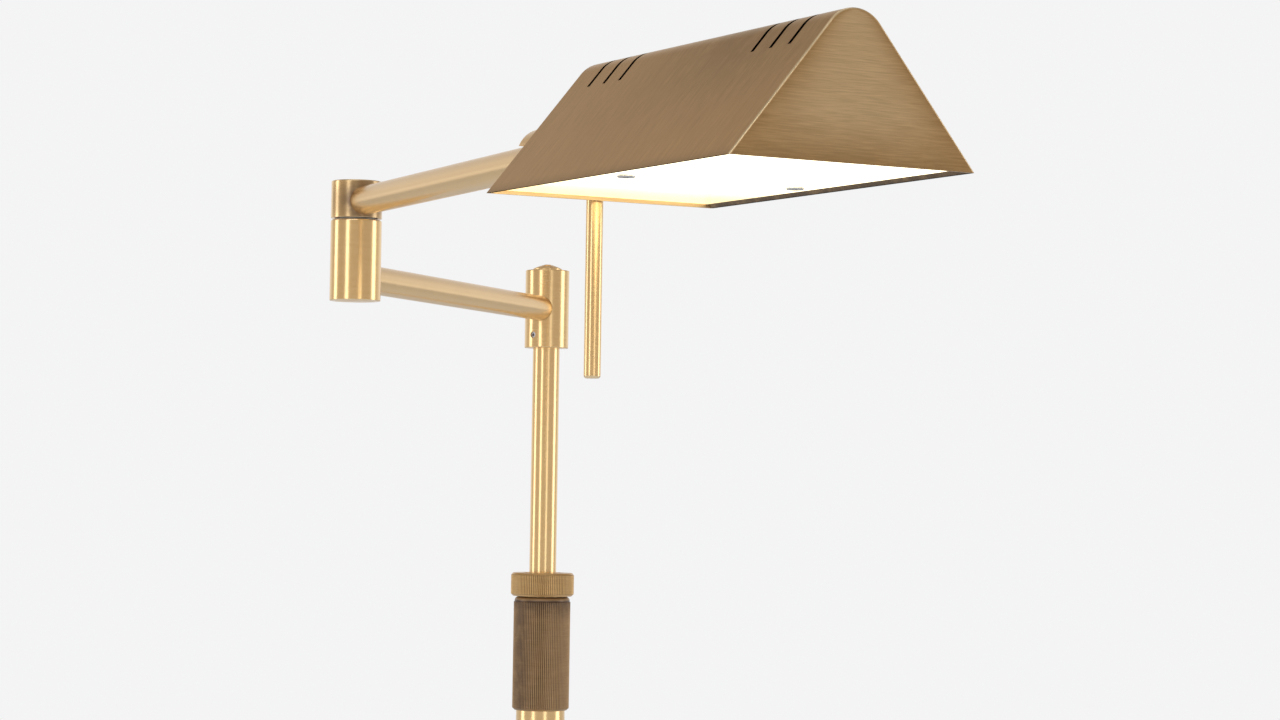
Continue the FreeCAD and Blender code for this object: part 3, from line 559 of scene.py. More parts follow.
def brushed_metal(name, finish, rough, stretch, contrast=1.0, relief=0.0, pattern="grain"):
    """Antique brass: brushed lines vary its tone and clouds darken it; masks brighten rubbed edges and painted
    highlights, and darken hollows and painted shade.

    The brushing follows the piece's own grain, or rings round the pole's axis, or the place alone.
    stretch is the anisotropy of the highlight, relief the height of the lines.
    """
    light, dark, patina_and_shade, worn_and_highlight = finish
    material, graph, shader = new_material(name)
    place = graph.object_place()
    if pattern == "grain":
        grain = graph.attribute("grain", "Vector")
        tangent = graph.add("ShaderNodeTangent", direction_type="UV_MAP", uv_map="brush").outputs[0]
        lay(graph, shader, Anisotropic=stretch, Tangent=tangent)
    elif pattern == "rings":
        flat = graph.add("ShaderNodeVectorMath", {0: place, 1: (1, 1, 0)}, operation="MULTIPLY").outputs[0]
        ring = graph.add("ShaderNodeVectorMath", {0: flat}, operation="LENGTH").outputs["Value"]
        parts = graph.add("ShaderNodeSeparateXYZ", {0: place}).outputs
        across = graph.math("ADD", ring, parts["Z"])
        turn = graph.math("MULTIPLY", graph.math("ARCTAN2", parts["Y"], parts["X"]), ring)
        grain = graph.add("ShaderNodeCombineXYZ", {0: across, 1: turn}).outputs[0]
        tangent = graph.add("ShaderNodeTangent", direction_type="RADIAL", axis="Z").outputs[0]
        lay(graph, shader, Anisotropic=stretch, Anisotropic_Rotation=0.25, Tangent=tangent)
    else:
        grain = place
    lines = grouped(graph, BRUSHING, {"Grain": grain})
    age_and_shade = grouped(graph, AGING_AND_SHADE, {"Place": place, "Mask": graph.attribute("patina_and_shade", "Fac")})
    span = TONE_SPREAD / contrast
    tone = graph.ramp(lines["Tone"], 0.5 - span, 0.5 + span)
    colour = graph.mix(tone, (*dark, 1), (*light, 1))
    colour = graph.mix(graph.math("MULTIPLY", age_and_shade["Clouds"], CLOUD_SHARE), colour, (*dark, 1))
    colour = graph.mix(graph.math("MULTIPLY", age_and_shade["Dark"], PATINA_AND_SHADE_SHARE), colour, (*patina_and_shade, 1))
    wear_and_highlight = graph.attribute("wear_and_highlight", "Fac")
    bright = graph.mix(tone, tuple(c * WORN_LINES for c in worn_and_highlight) + (1,), (*worn_and_highlight, 1))
    colour = graph.mix(wear_and_highlight, colour, bright)
    roughness = graph.ramp(lines["Lines"], 0.3, 0.7, rough - 0.02, rough + 0.03)
    roughness = graph.math("ADD", roughness, graph.math("MULTIPLY", age_and_shade["Dark"], 0.12))
    normal = bump(graph, lines["Lines"], relief)
    lay(graph, shader, Base_Color=colour, Metallic=1.0, Roughness=roughness, Normal=normal)
    lay(graph, shader, Coat_Weight=0.25, Coat_Roughness=0.15, Coat_IOR=1.5)
    return material


def plain_metal(name, colour, rough, scale=900.0):
    """Plated or mill metal: a fine grain in tone and roughness."""
    material, graph, shader = new_material(name)
    grain = graph.noise(graph.object_place(), scale, 3.0, 0.6)
    dim = tuple(c * 0.82 for c in colour)
    lay(graph, shader, Base_Color=graph.mix(grain, (*dim, 1), (*colour, 1)), Metallic=1.0)
    lay(graph, shader, Roughness=graph.ramp(grain, 0.3, 0.7, rough - 0.06, rough + 0.08))
    lay(graph, shader, Normal=bump(graph, grain, 0.02 * MM))
    return material


def moulded(name, colour, rough, grain_scale=1400.0, relief=0.02 * MM):
    """Moulded or painted surface: a fine even texture with faint clouds."""
    material, graph, shader = new_material(name)
    place = graph.object_place()
    grain = graph.noise(place, grain_scale, 2.0, 0.5)
    cloud = graph.noise(place, 40.0, 3.0, 0.5)
    dim = tuple(c * 0.85 for c in colour)
    lay(graph, shader, Base_Color=graph.mix(cloud, (*dim, 1), (*colour, 1)))
    lay(graph, shader, Roughness=graph.ramp(grain, 0.3, 0.7, rough - 0.05, rough + 0.05))
    lay(graph, shader, Normal=bump(graph, grain, relief))
    return material


def felt_material():
    """Felt: matted fibres from two crossed, stretched noises."""
    material, graph, shader = new_material("felt")
    place = graph.object_place()
    one = graph.noise(graph.stretched(place, 2400.0, 500.0), 1.0, 3.0, 0.6)
    fluff = graph.noise(place, 900.0, 4.0, 0.7)
    fibre = graph.math("MULTIPLY", graph.math("ADD", one, fluff), 0.5)
    lay(graph, shader, Base_Color=graph.mix(fibre, (0.012, 0.012, 0.013, 1), (0.05, 0.05, 0.052, 1)))
    lay(graph, shader, Roughness=graph.ramp(fibre, 0.3, 0.7, 0.88, 1.0), Normal=bump(graph, fibre, 0.3 * MM))
    lay(graph, shader, Sheen_Weight=0.4)
    return material


def opal_material():
    """Lit opal acrylic, polished; its glow is painted dimmer and yellow towards the rear gable, a painted
    reflection of the gable's lit inside.
    """
    material, graph, shader = new_material("opal_acrylic")
    place = graph.object_place()
    haze = graph.noise(place, 30.0, 2.0, 0.5)
    along = graph.add("ShaderNodeVectorMath", {0: place, 1: tuple(HEAD[:3, 0])}, operation="DOT_PRODUCT")
    low, high = extent("diffuser", HEAD)
    rear = float(HEAD[:3, 3] @ HEAD[:3, 0]) + low[0]
    # the glow is painted dim and yellow towards the rear gable: a painted reflection
    share = graph.ramp(along.outputs["Value"], rear + GLOW_START, rear + GLOW_FULL * (high[0] - low[0]))
    share = graph.math("ADD", share, graph.math("MULTIPLY", haze, 0.1), clamp=True)
    glow_and_reflection = graph.mix(share, (*PANEL_REAR_PAINTED_REFLECTION, 1), (*PANEL_FULL_GLOW, 1))
    lay(graph, shader, Base_Color=graph.mix(haze, (0.86, 0.85, 0.81, 1), (0.9, 0.89, 0.86, 1)))
    lay(graph, shader, Roughness=graph.ramp(haze, 0.3, 0.7, 0.05, 0.09), IOR=1.49)
    lay(graph, shader, Emission_Color=glow_and_reflection, Emission_Strength=PANEL_GLOW)
    lay(graph, shader, Normal=bump(graph, haze, 0.01 * MM))
    return material


def phosphor_material():
    """Phosphor of the light chips: yellow, with a fine grain, and lit."""
    material, graph, shader = new_material("led_phosphor")
    grain = graph.noise(graph.object_place(), 2500.0, 2.0, 0.5)
    colour = graph.mix(grain, (0.85, 0.62, 0.12, 1), (0.95, 0.76, 0.2, 1))
    lay(graph, shader, Base_Color=colour, Roughness=graph.ramp(grain, 0.3, 0.7, 0.4, 0.5))
    lay(graph, shader, Emission_Color=colour, Emission_Strength=CHIP_GLOW)
    return material


def tones(light, depth, patina_and_shade, worn_and_highlight):
    """The four tones of a finish: the dark lines are the light tone times a depth, and warmer."""
    dark = tuple(c * depth**k for c, k in zip(light, (1.0, 1.25, 1.6)))
    return light, dark, patina_and_shade, worn_and_highlight


SATIN = tones((0.970, 0.700, 0.362), 0.85, (0.13, 0.08, 0.06), (0.98, 0.78, 0.5))
SHEETS = tones((0.733, 0.488, 0.228), 0.76, (0.075, 0.055, 0.045), (0.98, 0.80, 0.52))
RINGS = tones((0.774, 0.517, 0.238), 0.8, (0.12, 0.075, 0.04), (0.72, 0.53, 0.28))
GRIPS = tones((0.524, 0.348, 0.183), 0.75, (0.065, 0.045, 0.045), (0.5, 0.34, 0.19))
TURNED = tones((0.85, 0.62, 0.32), 0.85, (0.3, 0.2, 0.1), (0.95, 0.75, 0.45))

satin_brass = brushed_metal("satin_brass", SATIN, 0.24, 0.4, contrast=0.45, relief=TUBE_RELIEF)
cast_brass = brushed_metal("cast_brass", SATIN, 0.3, 0.0, contrast=0.7, pattern="place")
ringed_brass = brushed_metal("ringed_brass", SATIN, 0.25, 0.4, contrast=0.5, pattern="rings")
shade_brass = brushed_metal("shade_brass", SHEETS, 0.36, 0.6, contrast=1.2, relief=SHEET_RELIEF)
ring_brass = brushed_metal("ring_brass", RINGS, 0.36, 0.2)
grip_bronze = brushed_metal("grip_bronze", GRIPS, 0.4, 0.2)
turned_brass = brushed_metal("turned_brass", TURNED, 0.25, 0.0, pattern="place")
SLOT_FINISHES = {
    "felt": felt_material(),
    "iron": moulded("painted_iron", (0.05, 0.05, 0.055), 0.55, 700.0, 0.12 * MM),
    "brushed_brass": satin_brass,
    "shade_brass": shade_brass,
    "knurled_brass": ring_brass,
    "dark_bronze": grip_bronze,
    "bare_brass": turned_brass,
    "zinc_steel": plain_metal("zinc_steel", (0.60, 0.60, 0.61), 0.3),
    "nylon": moulded("nylon", (0.80, 0.79, 0.74), 0.45),
    "black_plastic": moulded("black_plastic", (0.03, 0.03, 0.032), 0.42),
    "lead_jacket": moulded("lead_jacket", (0.04, 0.04, 0.04), 0.5),
    "opal_acrylic": opal_material(),
    "aluminium_sheet": plain_metal("mill_aluminium", (0.78, 0.79, 0.80), 0.32),
    "board_white": moulded("solder_mask", (0.86, 0.86, 0.83), 0.35),
    "led_yellow": phosphor_material(),
}
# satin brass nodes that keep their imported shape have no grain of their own
PATTERN_FINISHES = {
    ringed_brass: ("base_cover", "base_collar", "hub_body"),
    cast_brass: ("elbow_bottom_cover", "hub_nut", "arm_tongue", "knuckle_barrel"),
}


def paint_nodes():
    """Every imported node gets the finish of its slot, or one with a pattern from the place alone."""
    own = {node: finish for finish, nodes in PATTERN_FINISHES.items() for node in nodes}
    for node, slot in slot_of.items():
        mesh = cad[node].data
        mesh.materials.clear()
        mesh.materials.append(own.get(node, SLOT_FINISHES[slot]))


paint_nodes()


# ---- turned pieces
def measured(node, place=STAND):
    """Low and high corner of a round piece in a local frame, its radius, and its upright axis."""
    low, high = extent(node, place)
    return low, high, (high[1] - low[1]) / 2, ((low[0] + high[0]) / 2, (low[1] + high[1]) / 2, 0)


def make_pole():
    """The pole's tubes: outside, both rounded ends and the bore."""
    for node, body, wall in POLE_TUBES:
        low, high, radius, centre = measured(node)
        a, b, bore = low[2], high[2], radius - wall
        outside = [(a, radius, TURNED_EDGE), (b, radius, TURNED_EDGE)]
        skin = turned([(a, bore, 0), *outside, (b, bore, 0), (a, bore, 0)], centre=centre, step=20 * MM)
        dress(skin.build(node + "_turned"), body, node, satin_brass)


def knurl(radius, low, high):
    """Columns of points, and the wave of a straight knurl between two heights."""
    count = round(2 * math.pi * radius / KNURL_PITCH)
    return dict(columns=KNURL_COLUMNS * count, wave=(count, KNURL_DEPTH, low, high))


def make_grip():
    """Knurled grip: chamfered foot, straight knurl, then a smooth shoulder rounded in to the ring."""
    low, high, radius, _ = measured("grip_sleeve")
    smooth = radius - KNURL_DEPTH
    bore = extent("lower_pole")[1][0]
    start, end = low[2] + KNURL_FOOT, high[2] - GRIP_SHOULDER
    corners = [
        (low[2], bore, 0), (low[2], smooth - KNURL_FOOT, GRIP_FOOT_EDGE), (start, smooth, GRIP_FOOT_EDGE),
        (start + KNURL_DEPTH, radius, KNURL_EDGE), (end - KNURL_DEPTH, radius, KNURL_EDGE),
        (end, smooth, KNURL_EDGE), (high[2], smooth, GRIP_TOP_ROUND), (high[2], bore - GRIP_TOP_REACH, 0),
    ]

    def darkening(points):
        """Dark shoulder that fades downwards, and a dark streak on the left."""
        down = end - points[..., 2]
        under = SHOULDER_UNDER * np.clip(1 - down / SHOULDER_FADE, 0, 1)
        shoulder = np.where(down < SHOULDER_START, SHOULDER_DARK, under)
        turn = np.arctan2(points[..., 0], -points[..., 1])
        streak = STREAK_DARK * np.exp(-(((turn - STREAK_TURN) / STREAK_WIDTH) ** 2))
        return np.maximum(shoulder, streak)

    skin = turned(corners, step=5 * MM, darkening=darkening, **knurl(radius, start, end))
    dress(skin.build("grip_knurled"), "stand", "grip_sleeve", grip_bronze)


def make_ring():
    """Knurled clamp ring: chamfered foot, straight knurl, a smooth band on top."""
    low, high, radius, _ = measured("lock_ring")
    smooth = radius - KNURL_DEPTH
    foot, top = low[2], high[2]
    start, end = foot + KNURL_FOOT, top - RING_BAND
    chamfer, chamfer_edge = RING_CHAMFER
    corners = [
        (foot, RING_BORE, 0), (foot, smooth - KNURL_FOOT, RING_FOOT_EDGE), (start, smooth, RING_FOOT_EDGE),
        (start + KNURL_DEPTH, radius, KNURL_EDGE), (top - RING_RUNOUT, radius, KNURL_EDGE),
        (end, smooth, KNURL_EDGE), (top, smooth - chamfer, chamfer_edge), (top, RING_BORE, 0),
        (foot, RING_BORE, 0),
    ]
    skin = turned(corners, step=5 * MM, **knurl(radius, start, end))
    dress(skin.build("ring_knurled"), "clamp_ring", "lock_ring", ring_brass)


def along_piece(node, body, place, edges=(TURNED_EDGE, TURNED_EDGE)):
    """Round piece along +X of its own frame, closed at both ends."""
    low, high, radius, _ = measured(node, place)
    corners = [(low[0], 0, 0), (low[0], radius, edges[0]), (high[0], radius, edges[1]), (high[0], 0, 0)]
    dress(turned(corners, ALONG).build(node + "_turned", place), body, node, satin_brass)


def upright_piece(node, body, place, edges, step, bore=0.0, bore_depth=0.0, darkening=None):
    """Upright round piece with its own edge radii at foot and top, open below where it has a bore."""
    low, high, radius, centre = measured(node, place)
    foot, top = low[2], high[2]
    inside = [(foot + bore_depth, bore, 0), (foot, bore, 0)] if bore else [(foot, 0, 0)]
    corners = inside + [(foot, radius, edges[0]), (top, radius, edges[1]), (top, 0, 0)]
    skin = turned(corners, centre=centre, step=step, darkening=darkening)
    dress(skin.build(node + "_turned", place), body, node, satin_brass)


def make_arms():
    """Both arms' tubes, and the elbow between them."""
    along_piece("inner_arm_tube", "inner_arm", INNER)
    low, high, cover_radius, _ = measured("elbow_bottom_cover", INNER)
    bore = dict(bore=cover_radius + COVER_GAP, bore_depth=high[2] - low[2])
    upright_piece("elbow_barrel", "inner_arm", INNER, (TURNED_EDGE, BARREL_TOP_EDGE), 2 * MM, **bore)
    arm_radius = measured("inner_arm_tube", INNER)[2]

    def joint_shade_and_patina(points):
        """Patina, and painted shade, round the place where the arm enters the cap: it fades over the halo's reach.
        """
        from_axis = np.hypot(points[..., 1], points[..., 2])
        fade = np.clip(1 - (from_axis - arm_radius) / HALO_REACH, 0, 1)
        return np.where(points[..., 0] > 0, fade**HALO_CURVE, 0)

    upright_piece("elbow_cap", "outer_arm", OUTER, CAP_EDGES, 1.5 * MM, darkening=joint_shade_and_patina)
    along_piece("outer_arm_tube", "outer_arm", OUTER)


# ---- shade
class Tent:
    """Section of the shade: two slopes and a round ridge, moved inwards by an inset.

    The section runs over the ridge from one foot to the other. Every inset has the same number of
    points, so that skins at different insets join point to point.
    """

    def __init__(self):
        low, high = extent("shade", HEAD)
        self.start, self.end = low[0], high[0]
        self.half = (high[1] - low[1]) / 2
        self.rim = low[2]
        self.peak = self.rim + self.half * math.tan(SHADE_SLOPE)

    def section(self, inset):
        """(y, z) points and normals; the slopes are cut at the foot of the slots and into equal steps."""
        foot = self.half - inset / math.sin(SHADE_SLOPE)
        peak = self.peak - inset / math.cos(SHADE_SLOPE)
        corners = [(-foot, self.rim, 0), (0, peak, RIDGE_RADIUS - inset), (foot, self.rim, 0)]
        places, normals, _ = outline(corners, steps=RIDGE_STEPS)
        cuts = self.cuts()
        rising = places[0] + (places[1] - places[0]) * cuts[:, None]
        falling = places[-1] + (places[-2] - places[-1]) * cuts[::-1, None]
        points = np.concatenate([rising, places[1:-1], falling])
        left, right = (np.repeat(normals[i], len(cuts), 0) for i in (slice(0, 1), slice(-1, None)))
        return points, np.concatenate([left, normals[1:-1], right])

    def cuts(self):
        """Shares of a slope, from the foot, at which its rows lie; the last row is at the bend."""
        reach = RIDGE_RADIUS * math.tan(SHADE_SLOPE)
        bend = self.peak - self.rim - reach * math.sin(SHADE_SLOPE)
        slot = SLOT_FLOOR / bend
        below = np.linspace(0, slot, SLOPE_STEPS)
        return np.concatenate([below, [(slot + 1) / 2]])

    def slot_middles(self):
        """Middles of the slots along the ridge, counted in from both gables."""
        offsets = SLOT_END + np.arange(SLOT_COUNT) * SLOT_PITCH
        return np.concatenate([self.start + offsets, self.end - offsets])

    def stations(self, first, last):
        """Places along the ridge: the two ends, the edges of the slots and steps between them."""
        middles = self.slot_middles()
        edges = np.sort(np.concatenate([middles - SLOT_WIDTH / 2, middles + SLOT_WIDTH / 2]))
        near, far = edges[: 2 * SLOT_COUNT], edges[2 * SLOT_COUNT :]
        gap = np.linspace(near[-1], far[0], LENGTH_STEPS)[1:-1]
        ends = np.linspace(0, 1, 4)[1:-1]
        head = first + (near[0] - first) * ends
        tail = far[-1] + (last - far[-1]) * ends
        return np.concatenate([[first], head, near, gap, far, tail, [last]])


def spread(x, section):
    """Grid of points (x, y, z) from places along the ridge and a section."""
    points = np.empty((len(x), len(section), 3))
    points[..., 0] = x[:, None]
    points[..., 1:] = section
    return points


def make_shade():
    """Folded sheet: outer and inner skins, rounded gable edges, gables, rim and the slots' walls."""
    tent = Tent()
    skin = Skin()
    outer, out_normal = tent.section(0)
    inner, _ = tent.section(SHEET)
    path = np.concatenate([[0], np.cumsum(np.linalg.norm(np.diff(outer, axis=0), axis=1))])
    x_out = tent.stations(tent.start + SHADE_EDGE, tent.end - SHADE_EDGE)
    x_in = tent.stations(tent.start + SHEET, tent.end - SHEET)

    middles = tent.slot_middles()[:, None]
    slot_columns = ((x_out[:-1] < middles) & (x_out[1:] > middles)).any(0)
    first = SLOPE_STEPS - 1
    last = len(outer) - SLOPE_STEPS
    slot_rows = np.zeros(len(outer) - 1, bool)
    slot_rows[first:last] = True
    keep = ~(slot_columns[:, None] & slot_rows[None, :])

    def facing(normals, x=0.0):
        """Normals (x, y, z) from a section's normals and a share of +X."""
        result = np.zeros((len(normals), 3))
        result[:, 1:] = normals * math.sqrt(1 - x * x)
        result[:, 0] = x
        return result

    def slope_grain(points):
        """Brushing down the slopes: across it is the place along the ridge."""
        grain = np.empty_like(points)
        grain[..., 0] = points[..., 0]
        grain[..., 1] = path[None, : points.shape[1]]
        grain[..., 2] = 0
        return grain, grain[..., :2]

    def slope_darkening(points):
        """Dark line along the rim, a cloud near the ridge towards the front, and a little with height."""
        rise = (points[..., 2] - tent.rim) / (tent.peak - tent.rim)
        run = (points[..., 0] - tent.start) / (tent.end - tent.start)
        edge = np.clip(1 - (points[..., 2] - tent.rim) / RIM_DARK_HEIGHT, 0, 1) ** 2
        (up, tall), (front, long) = CLOUD_RISE, CLOUD_RUN
        from_cloud = ((rise - up) / tall) ** 2 + ((run - front) / long) ** 2
        return RIM_DARK * edge + CLOUD_DARK * np.exp(-from_cloud) + RIDGE_DARK * rise

    points = spread(x_out, outer)
    grain, brush = slope_grain(points)
    skin.patch(points, facing(out_normal)[None], grain, brush, 0.0, slope_darkening(points), keep=keep)
    points = spread(x_in, inner)
    grain, brush = slope_grain(points)
    lip = np.clip(1 - (points[..., 2] - tent.rim) / (2 * RIM_DARK_HEIGHT), 0, 1)
    skin.patch(points, -facing(out_normal)[None], grain, brush, 0.0, np.sqrt(lip), keep=keep, flip=True)

    for end, side in ((tent.start, -1), (tent.end, 1)):
        turns = np.linspace(0, math.pi / 2, EDGE_STEPS + 1)
        rows, normals = [], []
        for a in turns:
            section, section_normal = tent.section(SHADE_EDGE * (1 - math.cos(a)))
            x = end - side * SHADE_EDGE * (1 - math.sin(a))
            rows.append(spread(np.array([x]), section)[0])
            normals.append(facing(section_normal, side * math.sin(a) * NEARLY_ONE))
        rows, normals = np.array(rows), np.array(normals)
        grain, brush = slope_grain(rows)
        # the rounded gable edges are brighter: rubbed edges, and a painted highlight
        wear_and_highlight = np.sin(2 * turns)[:, None]
        order = slice(None) if side > 0 else slice(None, None, -1)
        skin.patch(rows[order], normals[order], grain[order], brush[order], wear_and_highlight[order])
        make_gable(skin, rows[-1], end, side)
        inner_border = spread(np.array([end - side * SHEET]), inner)[0]
        make_gable(skin, inner_border, end - side * SHEET, -side, inside=True)

    make_slot_walls(skin, x_out, x_in, outer, inner, slot_columns, first, last)
    make_rim(skin, tent, x_out, x_in, outer, inner)
    dress(skin.build("shade_folded", HEAD), "head", "shade", shade_brass)


def make_gable(skin, border, x, side, inside=False):
    """Flat gable between the two slopes: level rows from the left slope to the right one."""
    half = (len(border) + 1) // 2
    left = border[:half]
    share = np.linspace(-1, 1, GABLE_STEPS + 1)
    points = np.empty((half, len(share), 3))
    points[..., 0] = x
    points[..., 1] = -left[:, 1:2] * share
    points[..., 2] = left[:, 2:3]
    grain = np.stack([points[..., 2], points[..., 1], points[..., 0]], -1)
    rise = points[..., 2] - points[..., 2].min()
    if inside:
        # the inner gable is painted brighter, as lit by the panel
        wear_and_highlight, patina_and_shade = INSIDE_PAINTED_LIGHT, 0.0
    else:
        # outer gable: a painted highlight down its middle, painted shade towards its sides and its foot
        beside = np.abs(share)[None, :] ** 3
        low = np.clip(1 - rise / (4 * RIM_DARK_HEIGHT), 0, 1)
        wear_and_highlight = GABLE_PAINTED_HIGHLIGHT * (1 - beside) * (1 - low)
        patina_and_shade = np.maximum(GABLE_SIDE_PAINTED_SHADE * beside, GABLE_FOOT_PAINTED_SHADE * low)
    normal = np.array((side, 0.0, 0.0))
    skin.patch(points, normal, grain, grain[..., :2], wear_and_highlight, patina_and_shade, flip=side > 0)


def cut_strip(skin, one, other, normal, patina_and_shade, flip):
    """Strip of a cut edge of the sheet, between two rows of points."""
    strip = np.stack([one, other])
    skin.patch(strip, np.array(normal), strip, strip[..., :2], 0.0, patina_and_shade, flip=flip)


def make_slot_walls(skin, x_out, x_in, outer, inner, slot_columns, first, last):
    """Walls of the vent slots, across the sheet's thickness."""
    for i in np.flatnonzero(slot_columns):
        for k, towards in ((i, 1), (i + 1, -1)):
            top = spread(x_out[[k]], outer[first : last + 1])[0]
            low = spread(x_in[[k]], inner[first : last + 1])[0]
            cut_strip(skin, low, top, (towards, 0.0, 0.0), 1.0, towards < 0)
        for j, flip in ((first, True), (last, False)):
            top = spread(x_out[i : i + 2], outer[[j]])[:, 0]
            low = spread(x_in[i : i + 2], inner[[j]])[:, 0]
            cut_strip(skin, low, top, UP, 1.0, flip)


def make_rim(skin, tent, x_out, x_in, outer, inner):
    """Cut lower edge of the sheet, between the outer and the inner skin, all the way round."""
    for j, flip in ((0, True), (-1, False)):
        out_edge = spread(x_out, outer[[j]])[:, 0]
        in_edge = spread(x_in, inner[[j]])[:, 0]
        cut_strip(skin, out_edge, in_edge, DOWN, CUT_EDGE_DARK, flip)
    share = np.linspace(-1, 1, GABLE_STEPS + 1)
    for end, side in ((tent.start, -1), (tent.end, 1)):
        corner = []
        for a in np.linspace(0, math.pi / 2, EDGE_STEPS + 1):
            section, _ = tent.section(SHADE_EDGE * (1 - math.cos(a)))
            corner.append((end - side * SHADE_EDGE * (1 - math.sin(a)), section[0][0]))
        corner = np.array(corner)
        foot = abs(corner[-1, 1])
        inner_foot = abs(inner[0][0])
        for y_side in (-1, 1):
            edge = np.column_stack([corner[:, 0], -corner[:, 1] * y_side, np.full(len(corner), tent.rim)])
            point = np.array((end - side * SHEET, inner_foot * y_side, tent.rim))
            centre = np.broadcast_to(point, edge.shape)
            cut_strip(skin, edge, centre, DOWN, CUT_EDGE_DARK, side * y_side > 0)
        out_edge = np.column_stack([np.full(len(share), end), foot * share, np.full(len(share), tent.rim)])
        in_edge = out_edge.copy()
        in_edge[:, 0] = end - side * SHEET
        in_edge[:, 1] = inner_foot * share
        cut_strip(skin, out_edge, in_edge, DOWN, CUT_EDGE_DARK, side < 0)


make_pole()
make_grip()
make_ring()
make_arms()
upright_piece("handle_rod", "head", HEAD, ROD_EDGES, 3 * MM)
along_piece("tilt_disc", "head", HEAD, DISC_EDGES)
make_shade()


# ---- smooth copies of the small pieces
def smooth_copy(node, body, edge):
    """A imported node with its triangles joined, its edges eased, and shaded smooth up to an angle."""
    mesh = cad[node].data.copy()
    piece = bpy.data.objects.new(node + "_eased", mesh)
    bpy.context.scene.collection.objects.link(piece)
    weld = piece.modifiers.new("weld", "WELD")
    weld.merge_threshold = 0.001 * MM
    if edge:
        bevel = piece.modifiers.new("bevel", "BEVEL")
        bevel.width = edge
        bevel.segments = 2
        bevel.limit_method = "ANGLE"
        bevel.angle_limit = SMOOTH_ANGLE
    made = bpy.data.meshes.new_from_object(piece.evaluated_get(bpy.context.evaluated_depsgraph_get()))
    piece.modifiers.clear()
    piece.data = made
    made.name = piece.name
    if "custom_normal" in made.attributes:
        made.attributes.remove(made.attributes["custom_normal"])
    made.shade_smooth()
    made.set_sharp_from_angle(angle=SMOOTH_ANGLE)
    stand_for(piece, body, node)


# width of the eased edges in millimetres
EASED = {
    "stand": {"base_cover": 0, "base_collar": 0.2, "cord_bushing": 0.2, "base_pad": 0.3},
    "inner_arm": {"hub_set_screw": 0.08, "elbow_bottom_cover": 0.1},
    "outer_arm": {"arm_tongue": 0.2},
    "knuckle": {"knuckle_barrel": 0.2, "pivot_screws": 0.1},
    "head": {"diffuser": 0.25, "diffuser_screws": 0},
}
for body, nodes in EASED.items():
    for node, edge in nodes.items():
        smooth_copy(node, body, edge * MM)


# ---- room, lamps and camera
def make_floor():
    """Plain pale floor under the lamp."""
    mesh = bpy.data.meshes.new("floor")
    side = FLOOR_HALF
    corners = [(-side, -side, 0), (side, -side, 0), (side, side, 0), (-side, side, 0)]
    mesh.from_pydata(corners, [], [(0, 1, 2, 3)])
    floor = bpy.data.objects.new("floor", mesh)
    bpy.context.scene.collection.objects.link(floor)
    material, graph, shader = new_material("floor")
    speck = graph.noise(graph.object_place(), 60.0, 2.0, 0.5)
    dull, pale = ((tone, tone, tone, 1) for tone in (FLOOR_TONE - 0.02, FLOOR_TONE))
    lay(graph, shader, Base_Color=graph.mix(speck, dull, pale), Roughness=0.9)
    mesh.materials.append(material)


def tinted(tone, warmth):
    """Grey of a level, warmed: more red and less blue by the same share."""
    return tone * (1 + warmth), tone, tone * (1 - warmth), 1


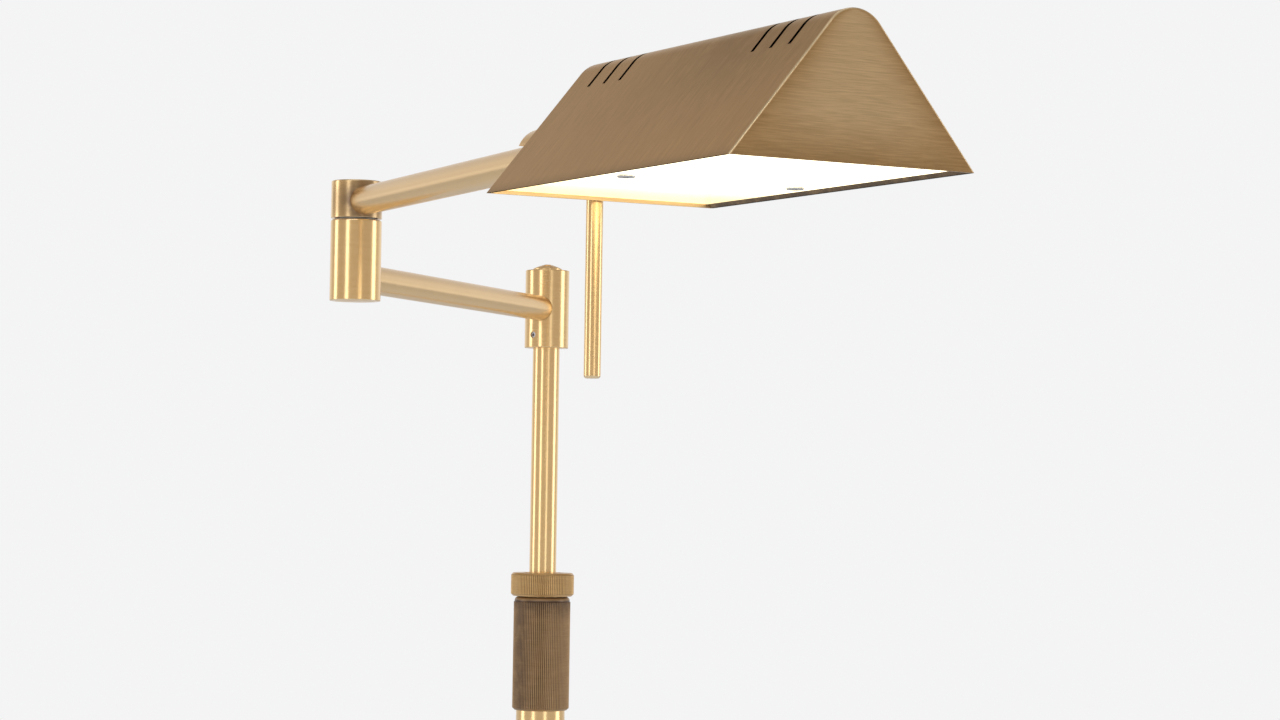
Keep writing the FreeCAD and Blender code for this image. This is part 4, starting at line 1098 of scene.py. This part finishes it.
def make_room():
    """Pale backdrop for the eye and in the metal behind the lamp; the rest of the room is dim and warm."""
    world = bpy.context.scene.world or bpy.data.worlds.new("room")
    bpy.context.scene.world = world
    world.use_nodes = True
    tree = world.node_tree
    tree.nodes.clear()
    graph = Graph(tree)
    path = graph.add("ShaderNodeLightPath").outputs
    direction = graph.add("ShaderNodeTexCoord").outputs["Generated"]
    parts = graph.add("ShaderNodeSeparateXYZ", {0: direction}).outputs
    height, depth = parts["Z"], parts["Y"]
    wall = graph.math("MULTIPLY", graph.ramp(height, *WALL_FOOT), graph.ramp(height, *WALL_HEAD))
    colour = graph.mix(wall, tinted(*ROOM_DIM), tinted(*ROOM_WALL))
    colour = graph.mix(graph.ramp(height, *CEILING), colour, tinted(*ROOM_TOP))
    colour = graph.mix(path["Is Diffuse Ray"], colour, (*ROOM_SOFT, 1))
    behind = graph.math("MULTIPLY", graph.ramp(depth, *BEHIND_DEPTH), graph.ramp(height, *BEHIND_HEIGHT))
    reflected = graph.math("MULTIPLY", path["Is Glossy Ray"], behind)
    seen = graph.math("MAXIMUM", path["Is Camera Ray"], path["Is Transmission Ray"])
    seen = graph.math("MAXIMUM", seen, reflected)
    studio = graph.add("ShaderNodeBackground", {"Color": colour}).outputs[0]
    plain = graph.add("ShaderNodeBackground", {"Color": (*BACKGROUND, 1)}).outputs[0]
    mixed = graph.add("ShaderNodeMixShader", {0: seen, 1: studio, 2: plain}).outputs[0]
    graph.add("ShaderNodeOutputWorld", {"Surface": mixed})


def soft_box(name, place, target, width, height, radiance):
    """Rectangular lamp facing a target; its power is pi * area * radiance."""
    light = bpy.data.lights.new(name, "AREA")
    light.shape = "RECTANGLE"
    light.size, light.size_y = width, height
    light.energy = math.pi * width * height * radiance
    light.color = LAMP_TINT
    lamp = bpy.data.objects.new(name, light)
    lamp.location = place
    lamp.rotation_euler = (target - place).to_track_quat("-Z", "Y").to_euler()
    lamp.visible_camera = False
    bpy.context.scene.collection.objects.link(lamp)


def make_lamps():
    """Tall soft boxes round the lamp, each at its azimuth and level with its target, and those above."""
    for i, (azimuth, width, low, high, radiance) in enumerate(LAMPS):
        turn = math.radians(azimuth)
        middle = Vector((0, 0, (low + high) / 2))
        place = Vector((math.sin(turn), -math.cos(turn), 0)) * LAMP_DISTANCE + middle
        soft_box(f"soft_box_{i}", place, middle, width, high - low, radiance)
    for name, place, target, width, height, radiance in HIGH_LAMPS:
        soft_box(name, Vector(place), Vector(target), width, height, radiance)


def make_camera():
    """Camera of the photograph: its place, pitch, roll and focal length."""
    camera = bpy.data.cameras.new("camera")
    camera.sensor_width = SENSOR
    camera.sensor_fit = "HORIZONTAL"
    camera.lens = FOCAL_PIXELS / PHOTO_WIDTH * SENSOR
    camera.clip_start, camera.clip_end = 0.05, 60.0
    view = bpy.data.objects.new("camera", camera)
    pitch = Matrix.Rotation(math.radians(90 + CAMERA_PITCH), 4, "X")
    roll = Matrix.Rotation(math.radians(CAMERA_ROLL), 4, "Z")
    view.matrix_world = Matrix.Translation(CAMERA_PLACE) @ pitch @ roll
    bpy.context.scene.collection.objects.link(view)
    bpy.context.scene.camera = view


make_floor()
make_room()
make_lamps()
make_camera()
bpy.context.scene.view_settings.view_transform = "Standard"
